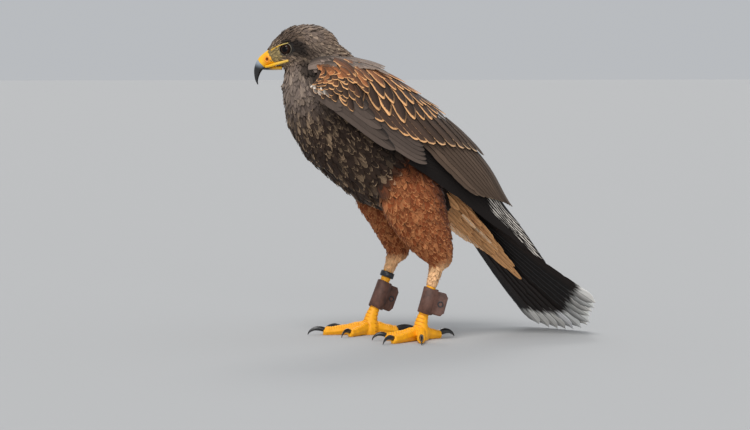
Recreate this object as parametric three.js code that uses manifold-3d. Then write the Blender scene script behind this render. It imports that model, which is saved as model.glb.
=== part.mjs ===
// A life-size model of a young Harris's hawk standing on a flat floor, in leather anklets and a leg ring.
// Millimetres, +Z up. The bird faces -X and its left side faces -Y. The floor is z = 0.
import * as THREE from "three";
import { mergeVertices } from "three/addons/utils/BufferGeometryUtils.js";
import Module from "manifold-3d";

const wasm = await Module();
wasm.setup();

// Driving dimensions
const GAP = 0.35; // clearance between touching sub-parts
const VANE = 0.6; // thickness of a feather's vane
const TAIL_LENGTH = 232;
const TAIL_SLOPES = [50, 38]; // degrees below level, at the root and at the tip
const TAIL_ROOT = [45, 165]; // x, z
const TAIL_ROLL = 18; // degrees, its left edge raised
const TAIL_FAN = 15; // degrees from the middle to the outermost feather
const HEAD_CENTRE = [-97, 0, 301];
const HEAD_YAW = 18; // degrees that the head is turned to its right
const EYE_RADIUS = 7.4;
const FOOT_TOP = 16; // height of the ankle joint

// Colours of the sub-parts
const COLOURS = {
  plumage: 0x4a3a2e,
  rufous: 0x8a4a26,
  flight: 0x2b2420,
  cream: 0xc9ab84,
  tail: 0x1d1714,
  horn: 0x20201f,
  bill: 0x8496a0,
  cere: 0xe0b020,
  skin: 0xe9a820,
  eye: 0x1c120b,
  leather: 0x5c3a2a,
  ring: 0x14161a,
};

const vec = (x, y, z) => new THREE.Vector3(x, y, z);
const rad = THREE.MathUtils.degToRad;
const lerp = THREE.MathUtils.lerp;

// Solids and the joins between them

// A closed geometry as a manifold-3d solid.
function solidOf(geometry) {
  const bare = new THREE.BufferGeometry();
  bare.setAttribute("position", geometry.getAttribute("position"));
  bare.setIndex(geometry.index);
  const merged = mergeVertices(bare, 1e-4);
  const mesh = new wasm.Mesh({
    numProp: 3,
    vertProperties: merged.attributes.position.array,
    triVerts: new Uint32Array(merged.index.array),
  });
  const made = new wasm.Manifold(mesh);
  if (made.volume() <= 0) throw new Error("a piece is inside out");
  return made;
}

// The largest closed surface of a solid, with hollows that fusing sealed filled.
function largest(solid) {
  const bodies = solid.decompose();
  return bodies.reduce((best, body) => (body.volume() > best.volume() ? body : best));
}

function joined(pieces) {
  return pieces.reduce((whole, piece) => whole.add(piece));
}

function cut(solid, tools) {
  return tools.reduce((rest, tool) => rest.subtract(tool), solid);
}

function geometryOf(solid) {
  const mesh = solid.getMesh();
  const geometry = new THREE.BufferGeometry();
  const places = new Float32Array(mesh.numVert * 3);
  for (let i = 0; i < mesh.numVert; i++) {
    places.set(mesh.vertProperties.subarray(i * mesh.numProp, i * mesh.numProp + 3), i * 3);
  }
  geometry.setAttribute("position", new THREE.BufferAttribute(places, 3));
  geometry.setIndex(new THREE.BufferAttribute(mesh.triVerts, 1));
  geometry.computeVertexNormals();
  return geometry;
}

// A box from a low to a high corner, such as the ground under the floor.
function block(low, high) {
  const size = high.clone().sub(low);
  const box = new THREE.BoxGeometry(size.x, size.y, size.z);
  box.translate(...low.clone().add(high).multiplyScalar(0.5).toArray());
  return solidOf(box);
}

const ground = block(vec(-600, -600, -100), vec(600, 600, 0));

// Moves each vertex of a primitive to where place(x, y, z) says.
function reshaped(geometry, place) {
  const points = geometry.attributes.position;
  for (let i = 0; i < points.count; i++) {
    points.setXYZ(i, ...place(points.getX(i), points.getY(i), points.getZ(i)).toArray());
  }
  return geometry;
}

// A closed tube of changing section. Each station is {at, up, down, side}: its centre, and how far the section
// reaches to the upper side, to the lower side and to either side. The side axis is level.
function loft(stations, { sides = 16, rings = 12, grow = 0, across = vec(0, 1, 0), power = 1 } = {}) {
  const spine = new THREE.CatmullRomCurve3(stations.map((s) => s.at), false, "centripetal");
  const sizes = new THREE.CatmullRomCurve3(
    stations.map((s) => vec(s.up, s.down, s.side)),
    false,
    "catmullrom",
    0.5,
  );
  const tube = new THREE.CylinderGeometry(1, 1, 1, sides, rings, false);
  const lastRing = (r) => Math.sign(r) * Math.abs(r) ** power;
  reshaped(tube, (x, y, z) => {
    const t = 0.5 - y;
    const centre = spine.getPoint(t);
    const along = spine.getTangent(t);
    const size = sizes.getPoint(t);
    const up = vec().crossVectors(along, across).normalize();
    const side = vec().crossVectors(up, along).normalize();
    const reach = z > 0 ? size.x + grow : size.y + grow;
    const ends = along.multiplyScalar(grow * Math.sign(t - 0.5) * (t < 1e-6 || t > 1 - 1e-6 ? 1 : 0));
    return centre
      .add(ends)
      .addScaledVector(up, lastRing(z) * reach)
      .addScaledVector(side, lastRing(x) * (size.z + grow));
  });
  return fixed(tube);
}

// A solid made from a reshaped primitive, turned the right way out.
function fixed(geometry) {
  const bare = new THREE.BufferGeometry();
  bare.setAttribute("position", geometry.getAttribute("position"));
  bare.setIndex(geometry.index);
  const merged = mergeVertices(bare, 1e-4);
  const triangles = new Uint32Array(merged.index.array);
  const places = merged.attributes.position;
  let volume = 0;
  const corner = (i) => vec().fromBufferAttribute(places, i);
  for (let i = 0; i < triangles.length; i += 3) {
    const [a, b, c] = [0, 1, 2].map((k) => corner(triangles[i + k]));
    volume += a.dot(b.cross(c));
  }
  if (volume < 0) {
    for (let i = 0; i < triangles.length; i += 3) {
      [triangles[i + 1], triangles[i + 2]] = [triangles[i + 2], triangles[i + 1]];
    }
  }
  merged.setIndex(new THREE.BufferAttribute(triangles, 1));
  return solidOf(merged);
}

// A thin closed body with like triangles on both faces. place(w, t, side) gives a point: w runs 0 to 1 across,
// t 0 to 1 along, and side is 1 on the outer face and 0 on the inner one.
function slab(across, along, place) {
  const plane = new THREE.PlaneGeometry(1, 1, across, along);
  const grid = plane.attributes.position;
  const count = grid.count;
  const places = new Float32Array(count * 6);
  for (const side of [1, 0]) {
    for (let k = 0; k < count; k++) {
      const point = place(grid.getX(k) + 0.5, 0.5 - grid.getY(k), side);
      places.set(point.toArray(), ((1 - side) * count + k) * 3);
    }
  }
  const faces = [...plane.index.array];
  const under = faces.map((i) => i + count);
  for (let i = 0; i < under.length; i += 3) [under[i + 1], under[i + 2]] = [under[i + 2], under[i + 1]];
  const wide = across + 1;
  const rim = [];
  for (let i = 0; i < across; i++) rim.push(i);
  for (let j = 0; j < along; j++) rim.push(j * wide + across);
  for (let i = across; i > 0; i--) rim.push(along * wide + i);
  for (let j = along; j > 0; j--) rim.push(j * wide);
  const walls = rim.flatMap((a, k) => {
    const b = rim[(k + 1) % rim.length];
    return [a, b, a + count, b, b + count, a + count];
  });
  const body = new THREE.BufferGeometry();
  body.setAttribute("position", new THREE.BufferAttribute(places, 3));
  body.setIndex([...faces, ...under, ...walls]);
  return fixed(body);
}

// The trunk: neck, breast, back and rump as one form

const TRUNK = [
  { at: vec(-100, 0, 309), up: 12, down: 9, side: 8 },
  { at: vec(-95, 0, 294), up: 36, down: 29, side: 22 },
  { at: vec(-88, 0, 272), up: 43, down: 42, side: 32 },
  { at: vec(-69, 0, 238), up: 60, down: 56, side: 44 },
  { at: vec(-37, 0, 206), up: 57, down: 55, side: 49 },
  { at: vec(-3, 0, 180), up: 51, down: 52, side: 48 },
  { at: vec(25, 0, 166), up: 38, down: 38, side: 38 },
  { at: vec(44, 0, 153), up: 21, down: 22, side: 25 },
  { at: vec(58, 0, 140), up: 13, down: 12, side: 15 },
];
const trunk = (grow) => loft(TRUNK, { sides: 18, rings: 12, grow });

// The wing: each feather tier lies on one curved sheet

// Pairs of points of the left wing's lower and upper edge, front to back, and the sheet's swell between them.
const WING = [
  { low: vec(-110, -41, 262), high: vec(-103, -35, 280), swell: 3 },
  { low: vec(-90, -49, 240), high: vec(-68, -22, 281), swell: 11 },
  { low: vec(-56, -54, 212), high: vec(-27, -14, 265), swell: 14 },
  { low: vec(-18, -55, 187), high: vec(11, -13, 239), swell: 15 },
  { low: vec(20, -53, 169), high: vec(44, -14, 210), swell: 12 },
  { low: vec(58, -48, 147), high: vec(74, -18, 178), swell: 8 },
  { low: vec(95, -41, 121), high: vec(99, -24, 137), swell: 3 },
  { low: vec(125, -36, 96), high: vec(130, -25, 106), swell: 2 },
  { low: vec(150, -32, 72), high: vec(155, -27, 77.5), swell: 1 },
];
const lowEdge = new THREE.CatmullRomCurve3(WING.map((w) => w.low));
const highEdge = new THREE.CatmullRomCurve3(WING.map((w) => w.high));
const swells = new THREE.CatmullRomCurve3(WING.map((w) => vec(w.swell, 0, 0)));

// A point h above the left wing's sheet, a of the way back and b of the way up.
function onWing(a, b, h) {
  const low = lowEdge.getPoint(a);
  const chord = highEdge.getPoint(a).sub(low);
  const along = lowEdge.getTangent(a).lerp(highEdge.getTangent(a), THREE.MathUtils.clamp(b, 0, 1));
  const swell = swells.getPoint(a).x;
  const out = vec().crossVectors(along, chord).normalize();
  const rise = chord.clone().addScaledVector(out, swell * 4 * (1 - 2 * b));
  const normal = vec().crossVectors(along, rise).normalize();
  return low.addScaledVector(chord, b).addScaledVector(out, swell * 4 * b * (1 - b)).addScaledVector(normal, h);
}

// A stretch of the wing's sheet between two heights: low and high give its edges at each a.
function wingPatch({ from, to, low, high, under, over, across = 3, along = 5 }) {
  return slab(across, along, (w, t, side) => {
    const a = lerp(from, to, t);
    return onWing(a, lerp(low(a), high(a), w), side ? over(w, t) : under);
  });
}

const mirrored = (solid) => solid.mirror([0, 1, 0]);

// The space that each wing takes, so that the body and the legs stay clear of it.
const wingBed = wingPatch({
  from: 0,
  to: 0.8,
  low: () => -0.02,
  high: () => 1.04,
  under: -GAP,
  over: () => 40,
  across: 4,
  along: 9,
});

// Where the trunk fills out to the wing's sheet.
function wingSeat(grow) {
  const rim = grow / 60;
  return wingPatch({
    from: 0.03 - rim / 3,
    to: 0.52 + rim / 3,
    low: () => 0.1 - rim,
    high: () => 0.92 + rim,
    under: -24 - grow,
    over: () => grow,
    across: 4,
    along: 7,
  });
}

// Heights above the sheet at which each tier of feathers begins
const TIERS = { primaries: GAP, secondaries: 5.3, coverts: 9.9 };

// Spaces the steps along a vane closer towards its tip.
const towardsTip = (run) => 1 - (1 - run) ** 1.8;

// How far a vane's edge is from its shaft, as a share of its widest, t of the way from root to tip.
function vaneOutline(t, shoulder = 0.6) {
  const root = lerp(0.6, 1, Math.min(1, t / 0.4));
  const past = Math.max(0, (t - shoulder) / (1 - shoulder));
  return root * Math.max(0.1, Math.sqrt(Math.max(0, 1 - past ** 2.4)));
}

// A feather on the left wing's sheet. root and tip are [a, b], half is its half-width, base and rise its height at
// the root and how much higher it ends, and lift how much higher its lower edge is than the edge tucked above it.
function wingVane({ root, tip, half, base, rise = 0, lift = 1.6, bow = 0, along = 4, shoulder = 0.6 }) {
  const middle = (t) => [lerp(root[0], tip[0], t), lerp(root[1], tip[1], t) + bow * Math.sin(Math.PI * t)];
  return slab(1, along, (w, run, side) => {
    const t = towardsTip(run);
    const [a, b] = middle(t);
    const step = 0.004;
    const [nextA, nextB] = middle(t + step);
    const at = onWing(a, b, 0);
    const shaft = onWing(nextA, nextB, 0).sub(at).normalize();
    const alongA = onWing(a + step, b, 0).sub(at).divideScalar(step);
    const alongB = onWing(a, b + step, 0).sub(at).divideScalar(step);
    const out = vec().crossVectors(alongA, alongB).normalize();
    const across = vec().crossVectors(out, shaft);
    const reach = (2 * w - 1) * half * vaneOutline(t, shoulder);
    const [da, db] = inPlane(across.multiplyScalar(reach), alongA, alongB);
    const height = base + rise * t + lift * (1 - w);
    return onWing(THREE.MathUtils.clamp(a + da, 0, 1), b + db, height + side * VANE);
  });
}

// The shares of two directions that add up to a move in their plane.
function inPlane(move, u, v) {
  const [uu, uv, vv] = [u.dot(u), u.dot(v), v.dot(v)];
  const [mu, mv] = [move.dot(u), move.dot(v)];
  const whole = uu * vv - uv * uv;
  return [(mu * vv - mv * uv) / whole, (mv * uu - mu * uv) / whole];
}

// One row of vanes: count of them, each from what one(u, i) says, where u runs 0 to 1 along the row.
const row = (count, one) => Array.from({ length: count }, (_, i) => wingVane(one(i / (count - 1), i)));

function wingPrimaries() {
  const root = wingPatch({
    from: 0.22,
    to: 0.46,
    low: () => 0.03,
    high: () => 0.5,
    under: TIERS.primaries,
    over: () => TIERS.primaries + 4.5,
  });
  const vanes = row(5, (u, i) => ({
    root: [0.4, lerp(0.1, 0.4, u)],
    tip: [lerp(0.998, 0.83, u), lerp(0.35, 0.8, u)],
    half: 5.6,
    base: TIERS.primaries + 0.05 + i * 0.8,
    lift: 0.6,
    along: 6,
    shoulder: 0.72,
  }));
  return joined([root, ...vanes]);
}

function wingSecondaries() {
  const root = wingPatch({
    from: 0.24,
    to: 0.44,
    low: () => 0.31,
    high: () => 0.95,
    under: TIERS.secondaries,
    over: () => TIERS.secondaries + 3.3,
  });
  const vanes = row(7, (u, i) => ({
    root: [lerp(0.36, 0.4, u), lerp(0.4, 0.86, u)],
    tip: [lerp(0.64, 0.765, u ** 0.8), lerp(0.16, 0.86, u)],
    half: 4.8,
    base: TIERS.secondaries + 0.25,
    rise: 0.12 * i,
    lift: 2,
    bow: -0.03,
    shoulder: 0.75,
  }));
  return joined([root, ...vanes]);
}

// The alula and the coverts of the primaries, along the wing's front edge.
function wingAlula() {
  const root = wingPatch({
    from: 0.055,
    to: 0.22,
    low: () => 0.01,
    high: () => 0.21,
    under: TIERS.secondaries,
    over: () => TIERS.secondaries + 6,
    across: 2,
    along: 4,
  });
  const coverts = row(3, (u) => ({
    root: [0.19, lerp(0.07, 0.13, u)],
    tip: [lerp(0.47, 0.44, u), lerp(0.01, 0.1, u)],
    half: 4.2,
    base: TIERS.secondaries + 0.25,
    lift: 1.8,
    shoulder: 0.75,
  }));
  const alula = row(3, (u) => ({
    root: [0.12, lerp(0.085, 0.13, u)],
    tip: [lerp(0.35, 0.27, u), lerp(0.035, 0.095, u)],
    half: 5,
    base: TIERS.secondaries + 2.9,
    lift: 2,
    shoulder: 0.75,
  }));
  return joined([root, ...coverts, ...alula]);
}

const COVERT_ROWS = 2;

function wingCoverts() {
  const core = wingPatch({
    from: 0.01,
    to: 0.42,
    low: (a) => (a < 0.05 ? 0.02 : lerp(0.28, 0.62, Math.max(0, (a - 0.16) / 0.26))),
    high: () => 0.97,
    under: TIERS.coverts,
    over: (w, t) => TIERS.coverts + lerp(2.4, 5.2, w) * Math.sqrt(Math.sin(Math.PI * lerp(0.2, 0.9, t))),
    across: 3,
    along: 6,
  });
  const shoulder = wingPatch({
    from: 0.015,
    to: 0.18,
    low: () => 0.27,
    high: () => 0.96,
    under: TIERS.primaries,
    over: () => TIERS.coverts + 1,
  });
  const greater = row(7, (u) => ({
    root: [lerp(0.2, 0.38, u), lerp(0.5, 0.9, u)],
    tip: [lerp(0.39, 0.61, u), lerp(0.36, 0.88, u)],
    half: 6.8,
    base: TIERS.coverts + 0.2,
    lift: 1.6,
    shoulder: 0.65,
  }));
  const scaled = Array.from({ length: COVERT_ROWS }, (_, r) =>
    row(6, (u) => {
      const low = lerp(0.45, 0.7, u) + 0.15 * r;
      const back = lerp(0.1, 0.5, u) + 0.027 * r;
      return {
        root: [back - 0.05, low + 0.22],
        tip: [back + 0.03, low],
        half: 9,
        base: TIERS.coverts + 1.5 + 1.3 * r,
        rise: 2.4,
        lift: 1,
        along: 3,
        shoulder: 0.35,
      };
    }),
  ).flat();
  return joined([core, shoulder, ...greater, ...scaled]);
}

// The head, built about its own centre facing +X, then turned and set on the neck

const HEAD = [
  { at: vec(-27, 0, 1), up: 8, down: 8, side: 8 },
  { at: vec(-19, 0, 1), up: 19, down: 20, side: 17 },
  { at: vec(-6, 0, 0), up: 26, down: 25, side: 21.5 },
  { at: vec(8, 0, -1), up: 27, down: 23, side: 21.5 },
  { at: vec(20, 0, -3), up: 26, down: 18, side: 19 },
  { at: vec(31, 0, -5.5), up: 19, down: 13.5, side: 14 },
  { at: vec(40, 0, -8), up: 13, down: 9.5, side: 9.5 },
  { at: vec(45, 0, -9), up: 9.5, down: 7, side: 7.5 },
];
const EYE_AT = vec(25.5, 10.6, 2);
const EYE_TURN = 20; // degrees that the eyes look forward of straight sideways
const BROW = [
  { at: vec(40, 8, 2), up: 1, down: 1.5, side: 1 },
  { at: vec(33, 12.2, 6.2), up: 1.6, down: 2, side: 2.4 },
  { at: vec(25, 15.6, 9.6), up: 1.8, down: 2, side: 3 },
  { at: vec(17, 17, 10.2), up: 1.2, down: 1.5, side: 1.8 },
];
const CERE = [
  { at: vec(37, 0, -8.5), up: 12.5, down: 7.5, side: 9 },
  { at: vec(43, 0, -9.5), up: 10.6, down: 7, side: 7.4 },
  { at: vec(49, 0, -11), up: 8.8, down: 6.5, side: 6.1 },
];
const GAPE = [
  { at: vec(47, 5.6, -16.4), up: 1.3, down: 1.3, side: 1.2 },
  { at: vec(36, 9.6, -14.8), up: 1.6, down: 1.6, side: 1.8 },
  { at: vec(24, 15, -11.6), up: 1.3, down: 1.3, side: 1.6 },
];
const UPPER_BILL = [
  { at: vec(49.4, 0, -11), up: 8.6, down: 6.4, side: 6 },
  { at: vec(54.5, 0, -12.8), up: 6.8, down: 6.6, side: 5 },
  { at: vec(58, 0, -18.5), up: 4, down: 5.6, side: 3.7 },
  { at: vec(58.3, 0, -26), up: 2.5, down: 3, side: 2.2 },
  { at: vec(56.6, 0, -32.5), up: 1.2, down: 1.2, side: 1 },
  { at: vec(55, 0, -36), up: 0.4, down: 0.4, side: 0.4 },
];
const LOWER_BILL = [
  { at: vec(30, 0, -18.4), up: 2, down: 2.6, side: 7.6 },
  { at: vec(40, 0, -19), up: 1.8, down: 2.2, side: 5.8 },
  { at: vec(49, 0, -19.4), up: 1.5, down: 1.4, side: 3.6 },
  { at: vec(52.8, 0, -19.4), up: 0.6, down: 0.6, side: 1.4 },
];

const headFrame = new THREE.Matrix4()
  .makeTranslation(...HEAD_CENTRE)
  .multiply(new THREE.Matrix4().makeRotationZ(Math.PI - rad(HEAD_YAW)));

// A solid of the head's own frame, set on the neck. The bird's left is +Y in that frame.
const onHead = (solid) => solid.transform(headFrame.elements);
const bothSides = (solid) => solid.add(mirrored(solid));

function ball(radius, at, stretch = vec(1, 1, 1), segments = 10) {
  const sphere = new THREE.SphereGeometry(radius, segments, Math.round(segments * 0.7));
  sphere.scale(...stretch.toArray());
  sphere.translate(...at.toArray());
  return solidOf(sphere);
}

// A rounded ring of skin round one eye.
function lid() {
  const ring = new THREE.TorusGeometry(EYE_RADIUS - 0.7, 1.1, 4, 10);
  ring.rotateX(Math.PI / 2);
  ring.translate(0, EYE_RADIUS - 2.6, 0);
  ring.rotateZ(-rad(EYE_TURN));
  ring.translate(...EYE_AT.toArray());
  return solidOf(ring);
}

const face = () => joined([loft(HEAD, { sides: 16, rings: 10 }), bothSides(loft(BROW, { sides: 5, rings: 4 })), bothSides(lid())]);

function cere() {
  const nostril = ball(1.5, vec(45.5, 7.2, -8.6), vec(1, 1.4, 1.3), 10);
  const strips = bothSides(loft(GAPE, { sides: 6, rings: 4 }));
  const whole = loft(CERE, { sides: 12, rings: 4 }).add(strips);
  return cut(whole, [bothSides(nostril)]);
}

const upperBill = () => loft(UPPER_BILL, { sides: 10, rings: 11 });
const lowerBill = () => loft(LOWER_BILL, { sides: 10, rings: 6 });

// The tail: a fan on one sheet that bends up a little along its length

const tailMiddle = (() => {
  const half = TAIL_LENGTH / 2;
  const [root, tip] = TAIL_SLOPES.map(rad);
  const start = vec(TAIL_ROOT[0], 0, TAIL_ROOT[1]);
  const bend = start.clone().add(vec(half * Math.cos(root), 0, -half * Math.sin(root)));
  const end = bend.clone().add(vec(half * Math.cos(tip), 0, -half * Math.sin(tip)));
  return new THREE.QuadraticBezierCurve3(start, bend, end);
})();

// A point of the tail's sheet: s along from its root, y to the bird's right, h towards its upper side.
function onTail(s, y, h) {
  const t = s / TAIL_LENGTH;
  const along = tailMiddle.getTangent(THREE.MathUtils.clamp(t, 0, 1));
  const up = vec(-along.z, 0, along.x);
  const right = vec(0, Math.cos(rad(TAIL_ROLL)), 0).addScaledVector(up, -Math.sin(rad(TAIL_ROLL)));
  const normal = up.multiplyScalar(Math.cos(rad(TAIL_ROLL))).add(vec(0, Math.sin(rad(TAIL_ROLL)), 0));
  return tailMiddle.getPoint(t).addScaledVector(right, y).addScaledVector(normal, h);
}

const TAIL_FEATHERS = 12;
const TAIL_ROOT_HALF = 15; // where the outermost feathers start
const TAIL_DEPTH = 6; // of the tail's root

// A feather on the tail's sheet. It starts s along and y to the right and is turned by an angle; its edge on the
// tucked side (-1 left, 1 right, 0 neither) is lower by lift.
function tailVane({ s, y, turn, length, half, height, tucked = 0, lift = 1.6, along = 4, shoulder = 0.8, root = 0.3 }) {
  return slab(1, along, (w, run, side) => {
    const t = towardsTip(run);
    const past = Math.max(0, (t - shoulder) / (1 - shoulder));
    const width = half * lerp(root, 1, t) * Math.max(0.12, Math.sqrt(1 - past ** 2.4));
    const reach = (2 * w - 1) * width;
    const far = length * t;
    const forward = s + far * Math.cos(turn) - reach * Math.sin(turn);
    const sideways = y + far * Math.sin(turn) + reach * Math.cos(turn);
    const share = tucked === 0 ? 0 : 0.5 + 0.5 * tucked * (2 * w - 1);
    return onTail(forward, sideways, height - lift * share + side * VANE);
  });
}

function tail() {
  const root = slab(4, 3, (w, t, side) => {
    const y = lerp(-1, 1, w) * lerp(TAIL_ROOT_HALF - 3, 24, t);
    return onTail(lerp(6, 74, t), y, side ? 0 : -lerp(TAIL_DEPTH, 4.4, t) * Math.sqrt(1 - 0.4 * (2 * w - 1) ** 2));
  });
  const vanes = Array.from({ length: TAIL_FEATHERS }, (_, i) => {
    const place = (2 * i - TAIL_FEATHERS + 1) / (TAIL_FEATHERS - 1); // -1 leftmost to 1 rightmost
    const middle = Math.abs(place) < 0.1;
    return tailVane({
      s: 40,
      y: place * TAIL_ROOT_HALF,
      turn: rad(place * TAIL_FAN),
      length: (TAIL_LENGTH - 42) * (1 - 0.075 * place ** 2) * (1 - 0.014 * (i % 2)),
      half: 12,
      height: middle && place < 0 ? -VANE - 0.35 : -VANE - 1.3,
      tucked: middle ? 0 : -Math.sign(place),
    });
  });
  return joined([root, ...vanes]);
}

// Long soft feathers under the tail's root, in rows from a wedge-shaped core.
const UNDERTAIL_ROWS = [
  { count: 4, s: 44, length: 86, under: 0.3, fan: 10, spread: 16 },
  { count: 4, s: 22, length: 80, under: 3.4, fan: 9, spread: 13 },
  { count: 3, s: 2, length: 68, under: 7.4, fan: 8, spread: 9 },
];

function undertailCoverts() {
  const below = -TAIL_DEPTH - GAP;
  const core = slab(6, 3, (w, t, side) => {
    const across = 2 * w - 1;
    const half = lerp(30, 19, t);
    const depth = lerp(16, 2.8, t) * Math.sqrt(1 - 0.85 * across ** 2);
    return onTail(lerp(-8, 62, t), half * across, side ? below : below - depth);
  });
  const vanes = UNDERTAIL_ROWS.flatMap(({ count, s, length, under, fan, spread }) =>
    Array.from({ length: count }, (_, i) => {
      const place = (2 * i - count + 1) / (count - 1);
      return tailVane({
        s,
        y: place * spread,
        turn: rad(place * fan),
        length: length * (1 - 0.1 * place ** 2),
        half: 11,
        height: below - VANE - under,
        tucked: 1,
        lift: 1.3,
        along: 3,
        shoulder: 0.5,
        root: 0.5,
      });
    }),
  );
  return joined([core, ...vanes]);
}

// Short feathers over the tail's root.
function uppertailCoverts() {
  const core = slab(4, 3, (w, t, side) => {
    const across = 2 * w - 1;
    const depth = lerp(7, 2.6, t) * Math.sqrt(1 - 0.8 * across ** 2);
    return onTail(lerp(-4, 44, t), lerp(21, 17, t) * across, side ? GAP + depth : GAP);
  });
  const vanes = Array.from({ length: 6 }, (_, i) => {
    const place = (2 * i - 5) / 5;
    return tailVane({
      s: 22,
      y: place * 13,
      turn: rad(place * 12),
      length: 56 * (1 - 0.12 * place ** 2),
      half: 8,
      height: GAP + 1.4,
      tucked: 1,
      lift: 1.3,
      along: 3,
      shoulder: 0.5,
      root: 0.5,
    });
  });
  return joined([core, ...vanes]);
}

// The legs: each is given by where its thigh, hock and ankle are, and how its foot is turned

const LEGS = {
  left: {
    side: -1,
    thigh: [
      { at: vec(-8, -33, 184), up: 22, down: 26, side: 12 },
      { at: vec(-4, -38, 158), up: 36, down: 35, side: 18 },
      { at: vec(8, -40, 128), up: 30, down: 31, side: 19 },
      { at: vec(23, -40, 101), up: 22, down: 23, side: 15.5 },
      { at: vec(31, -39, 84), up: 14, down: 14, side: 11.5 },
      { at: vec(32, -39, 75), up: 8, down: 8, side: 7 },
    ],
    hock: vec(30, -39, 86),
    ankle: vec(10, -38, FOOT_TOP),
    heading: 214,
  },
  right: {
    side: 1,
    thigh: [
      { at: vec(-14, 31, 182), up: 22, down: 26, side: 12 },
      { at: vec(-12, 35, 158), up: 34, down: 31, side: 17 },
      { at: vec(-1, 37, 130), up: 28, down: 24, side: 18 },
      { at: vec(8, 38, 104), up: 19, down: 18, side: 14.5 },
      { at: vec(11, 38, 88), up: 12, down: 12, side: 11 },
      { at: vec(10, 38, 79), up: 7.5, down: 7.5, side: 7 },
    ],
    hock: vec(9, 38, 90),
    ankle: vec(-20, 39, FOOT_TOP),
    heading: 172,
  },
};

function tarsus(leg, grow = 0) {
  const point = (t) => leg.hock.clone().lerp(leg.ankle, t);
  const ring = (t, up, side) => ({ at: point(t), up, down: up, side });
  const stations = [
    ring(0.02, 6, 5.2),
    ring(0.2, 5.1, 4.5),
    ring(0.5, 4.7, 4.3),
    ring(0.84, 4.9, 4.6),
    ring(0.97, 6.4, 6.6),
  ];
  return loft(stations, { sides: 10, rings: 5, grow });
}

// Each digit: its turn from the foot's heading, towards the bird's middle, its length, and its claw's length.
const DIGITS = [
  { turn: 176, length: 30, thick: 4.5, claw: 25, clawThick: 3.3 },
  { turn: 38, length: 36, thick: 4.5, claw: 22, clawThick: 3.1 },
  { turn: 2, length: 50, thick: 4.4, claw: 18, clawThick: 2.6 },
  { turn: -44, length: 37, thick: 4.1, claw: 15, clawThick: 2.3 },
];

// A solid of one leg's foot frame, which faces +X with its origin on the floor under the ankle.
function onFoot(leg, turn, solid) {
  const frame = new THREE.Matrix4()
    .makeTranslation(leg.ankle.x, leg.ankle.y, 0)
    .multiply(new THREE.Matrix4().makeRotationZ(rad(leg.heading + leg.side * -turn)));
  return solid.transform(frame.elements);
}

// The clearance between the roots of neighbouring front toes.
const WEBS = [20, -21];
const webSlot = block(vec(0, -GAP / 2, -2), vec(60, GAP / 2, 30));

function footPad(grow = 0) {
  const stations = [
    { at: vec(0, 0, 17), up: 4.5, down: 4.5, side: 4.5 },
    { at: vec(0.5, 0, 13), up: 8.2, down: 8, side: 7.6 },
    { at: vec(1, 0, 7), up: 10, down: 9.6, side: 9.6 },
    { at: vec(1, 0, -1), up: 8, down: 8, side: 8 },
  ];
  return loft(stations, { sides: 12, rings: 5, grow });
}

function toe(digit) {
  const { length, thick } = digit;
  const knuckles = [
    [2, 9.5, 1.05],
    [0.3 * length, 9, 1],
    [0.48 * length, 7, 0.9],
    [0.66 * length, 5.6, 1.02],
    [0.82 * length, 4.6, 0.88],
    [0.95 * length, 4.3, 0.98],
    [length, 4.6, 0.62],
  ];
  const stations = knuckles.map(([x, z, share]) => ({
    at: vec(x, 0, z),
    up: thick * share,
    down: Math.max(thick * share, z + 0.3),
    side: thick * share,
  }));
  return loft(stations, { sides: 7, rings: 6 });
}

function claw(digit) {
  const { length, claw: reach, clawThick: thick } = digit;
  const stations = [
    { at: vec(length - 2.6, 0, 5), up: thick * 0.9, down: thick * 0.9, side: thick * 0.72 },
    { at: vec(length + reach * 0.24, 0, 7), up: thick, down: thick, side: thick * 0.75 },
    { at: vec(length + reach * 0.58, 0, 6.4), up: thick * 0.72, down: thick * 0.7, side: thick * 0.52 },
    { at: vec(length + reach * 0.84, 0, 3.6), up: thick * 0.4, down: thick * 0.4, side: thick * 0.3 },
    { at: vec(length + reach * 0.94, 0, 0.6), up: 0.35, down: 0.35, side: 0.35 },
  ];
  return loft(stations, { sides: 5, rings: 6 });
}

// What the bird wears: a leather band on each leg, with its ends pinched together and pierced, and a ring

const ANKLET = { bottom: 0.83, top: 0.46, inner: 6.4, outer: 8, flange: 13, hole: 2.2 };

// A frame with +Z up the tarsus and +X towards the front of the bird's left, at a share of the way to the ankle.
function tarsusFrame(leg, share, turn) {
  const up = leg.hock.clone().sub(leg.ankle).normalize();
  const out = vec(Math.cos(rad(turn)), Math.sin(rad(turn)), 0);
  const side = vec().crossVectors(up, out).normalize();
  out.crossVectors(side, up);
  return new THREE.Matrix4().makeBasis(out, side, up).setPosition(leg.hock.clone().lerp(leg.ankle, share));
}

function sleeve(inner, outer, height) {
  const profile = [
    new THREE.Vector2(inner, 0),
    new THREE.Vector2(outer, 0),
    new THREE.Vector2(outer, height),
    new THREE.Vector2(inner, height),
    new THREE.Vector2(inner, 0),
  ];
  const lathe = new THREE.LatheGeometry(profile, 20);
  lathe.rotateX(Math.PI / 2);
  return fixed(lathe);
}

function anklet(leg, turn) {
  const { bottom, top, inner, outer, flange, hole } = ANKLET;
  const height = leg.hock.distanceTo(leg.ankle) * (bottom - top);
  const band = sleeve(inner, outer, height);
  const tab = new THREE.BoxGeometry(flange, 3.2, height - 2);
  tab.translate(inner + flange / 2, 0, height / 2);
  const eyelet = new THREE.CylinderGeometry(hole, hole, 20, 12);
  eyelet.translate(outer + flange * 0.45, 0, height / 2);
  const shift = vec(0.7, 0, 0);
  const whole = band.add(solidOf(tab)).subtract(solidOf(eyelet)).translate(shift.toArray());
  return whole.transform(tarsusFrame(leg, bottom, turn).elements);
}

function legRing(leg) {
  return sleeve(5.4, 7.4, 6).transform(tarsusFrame(leg, 0.4, 0).elements);
}

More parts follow.
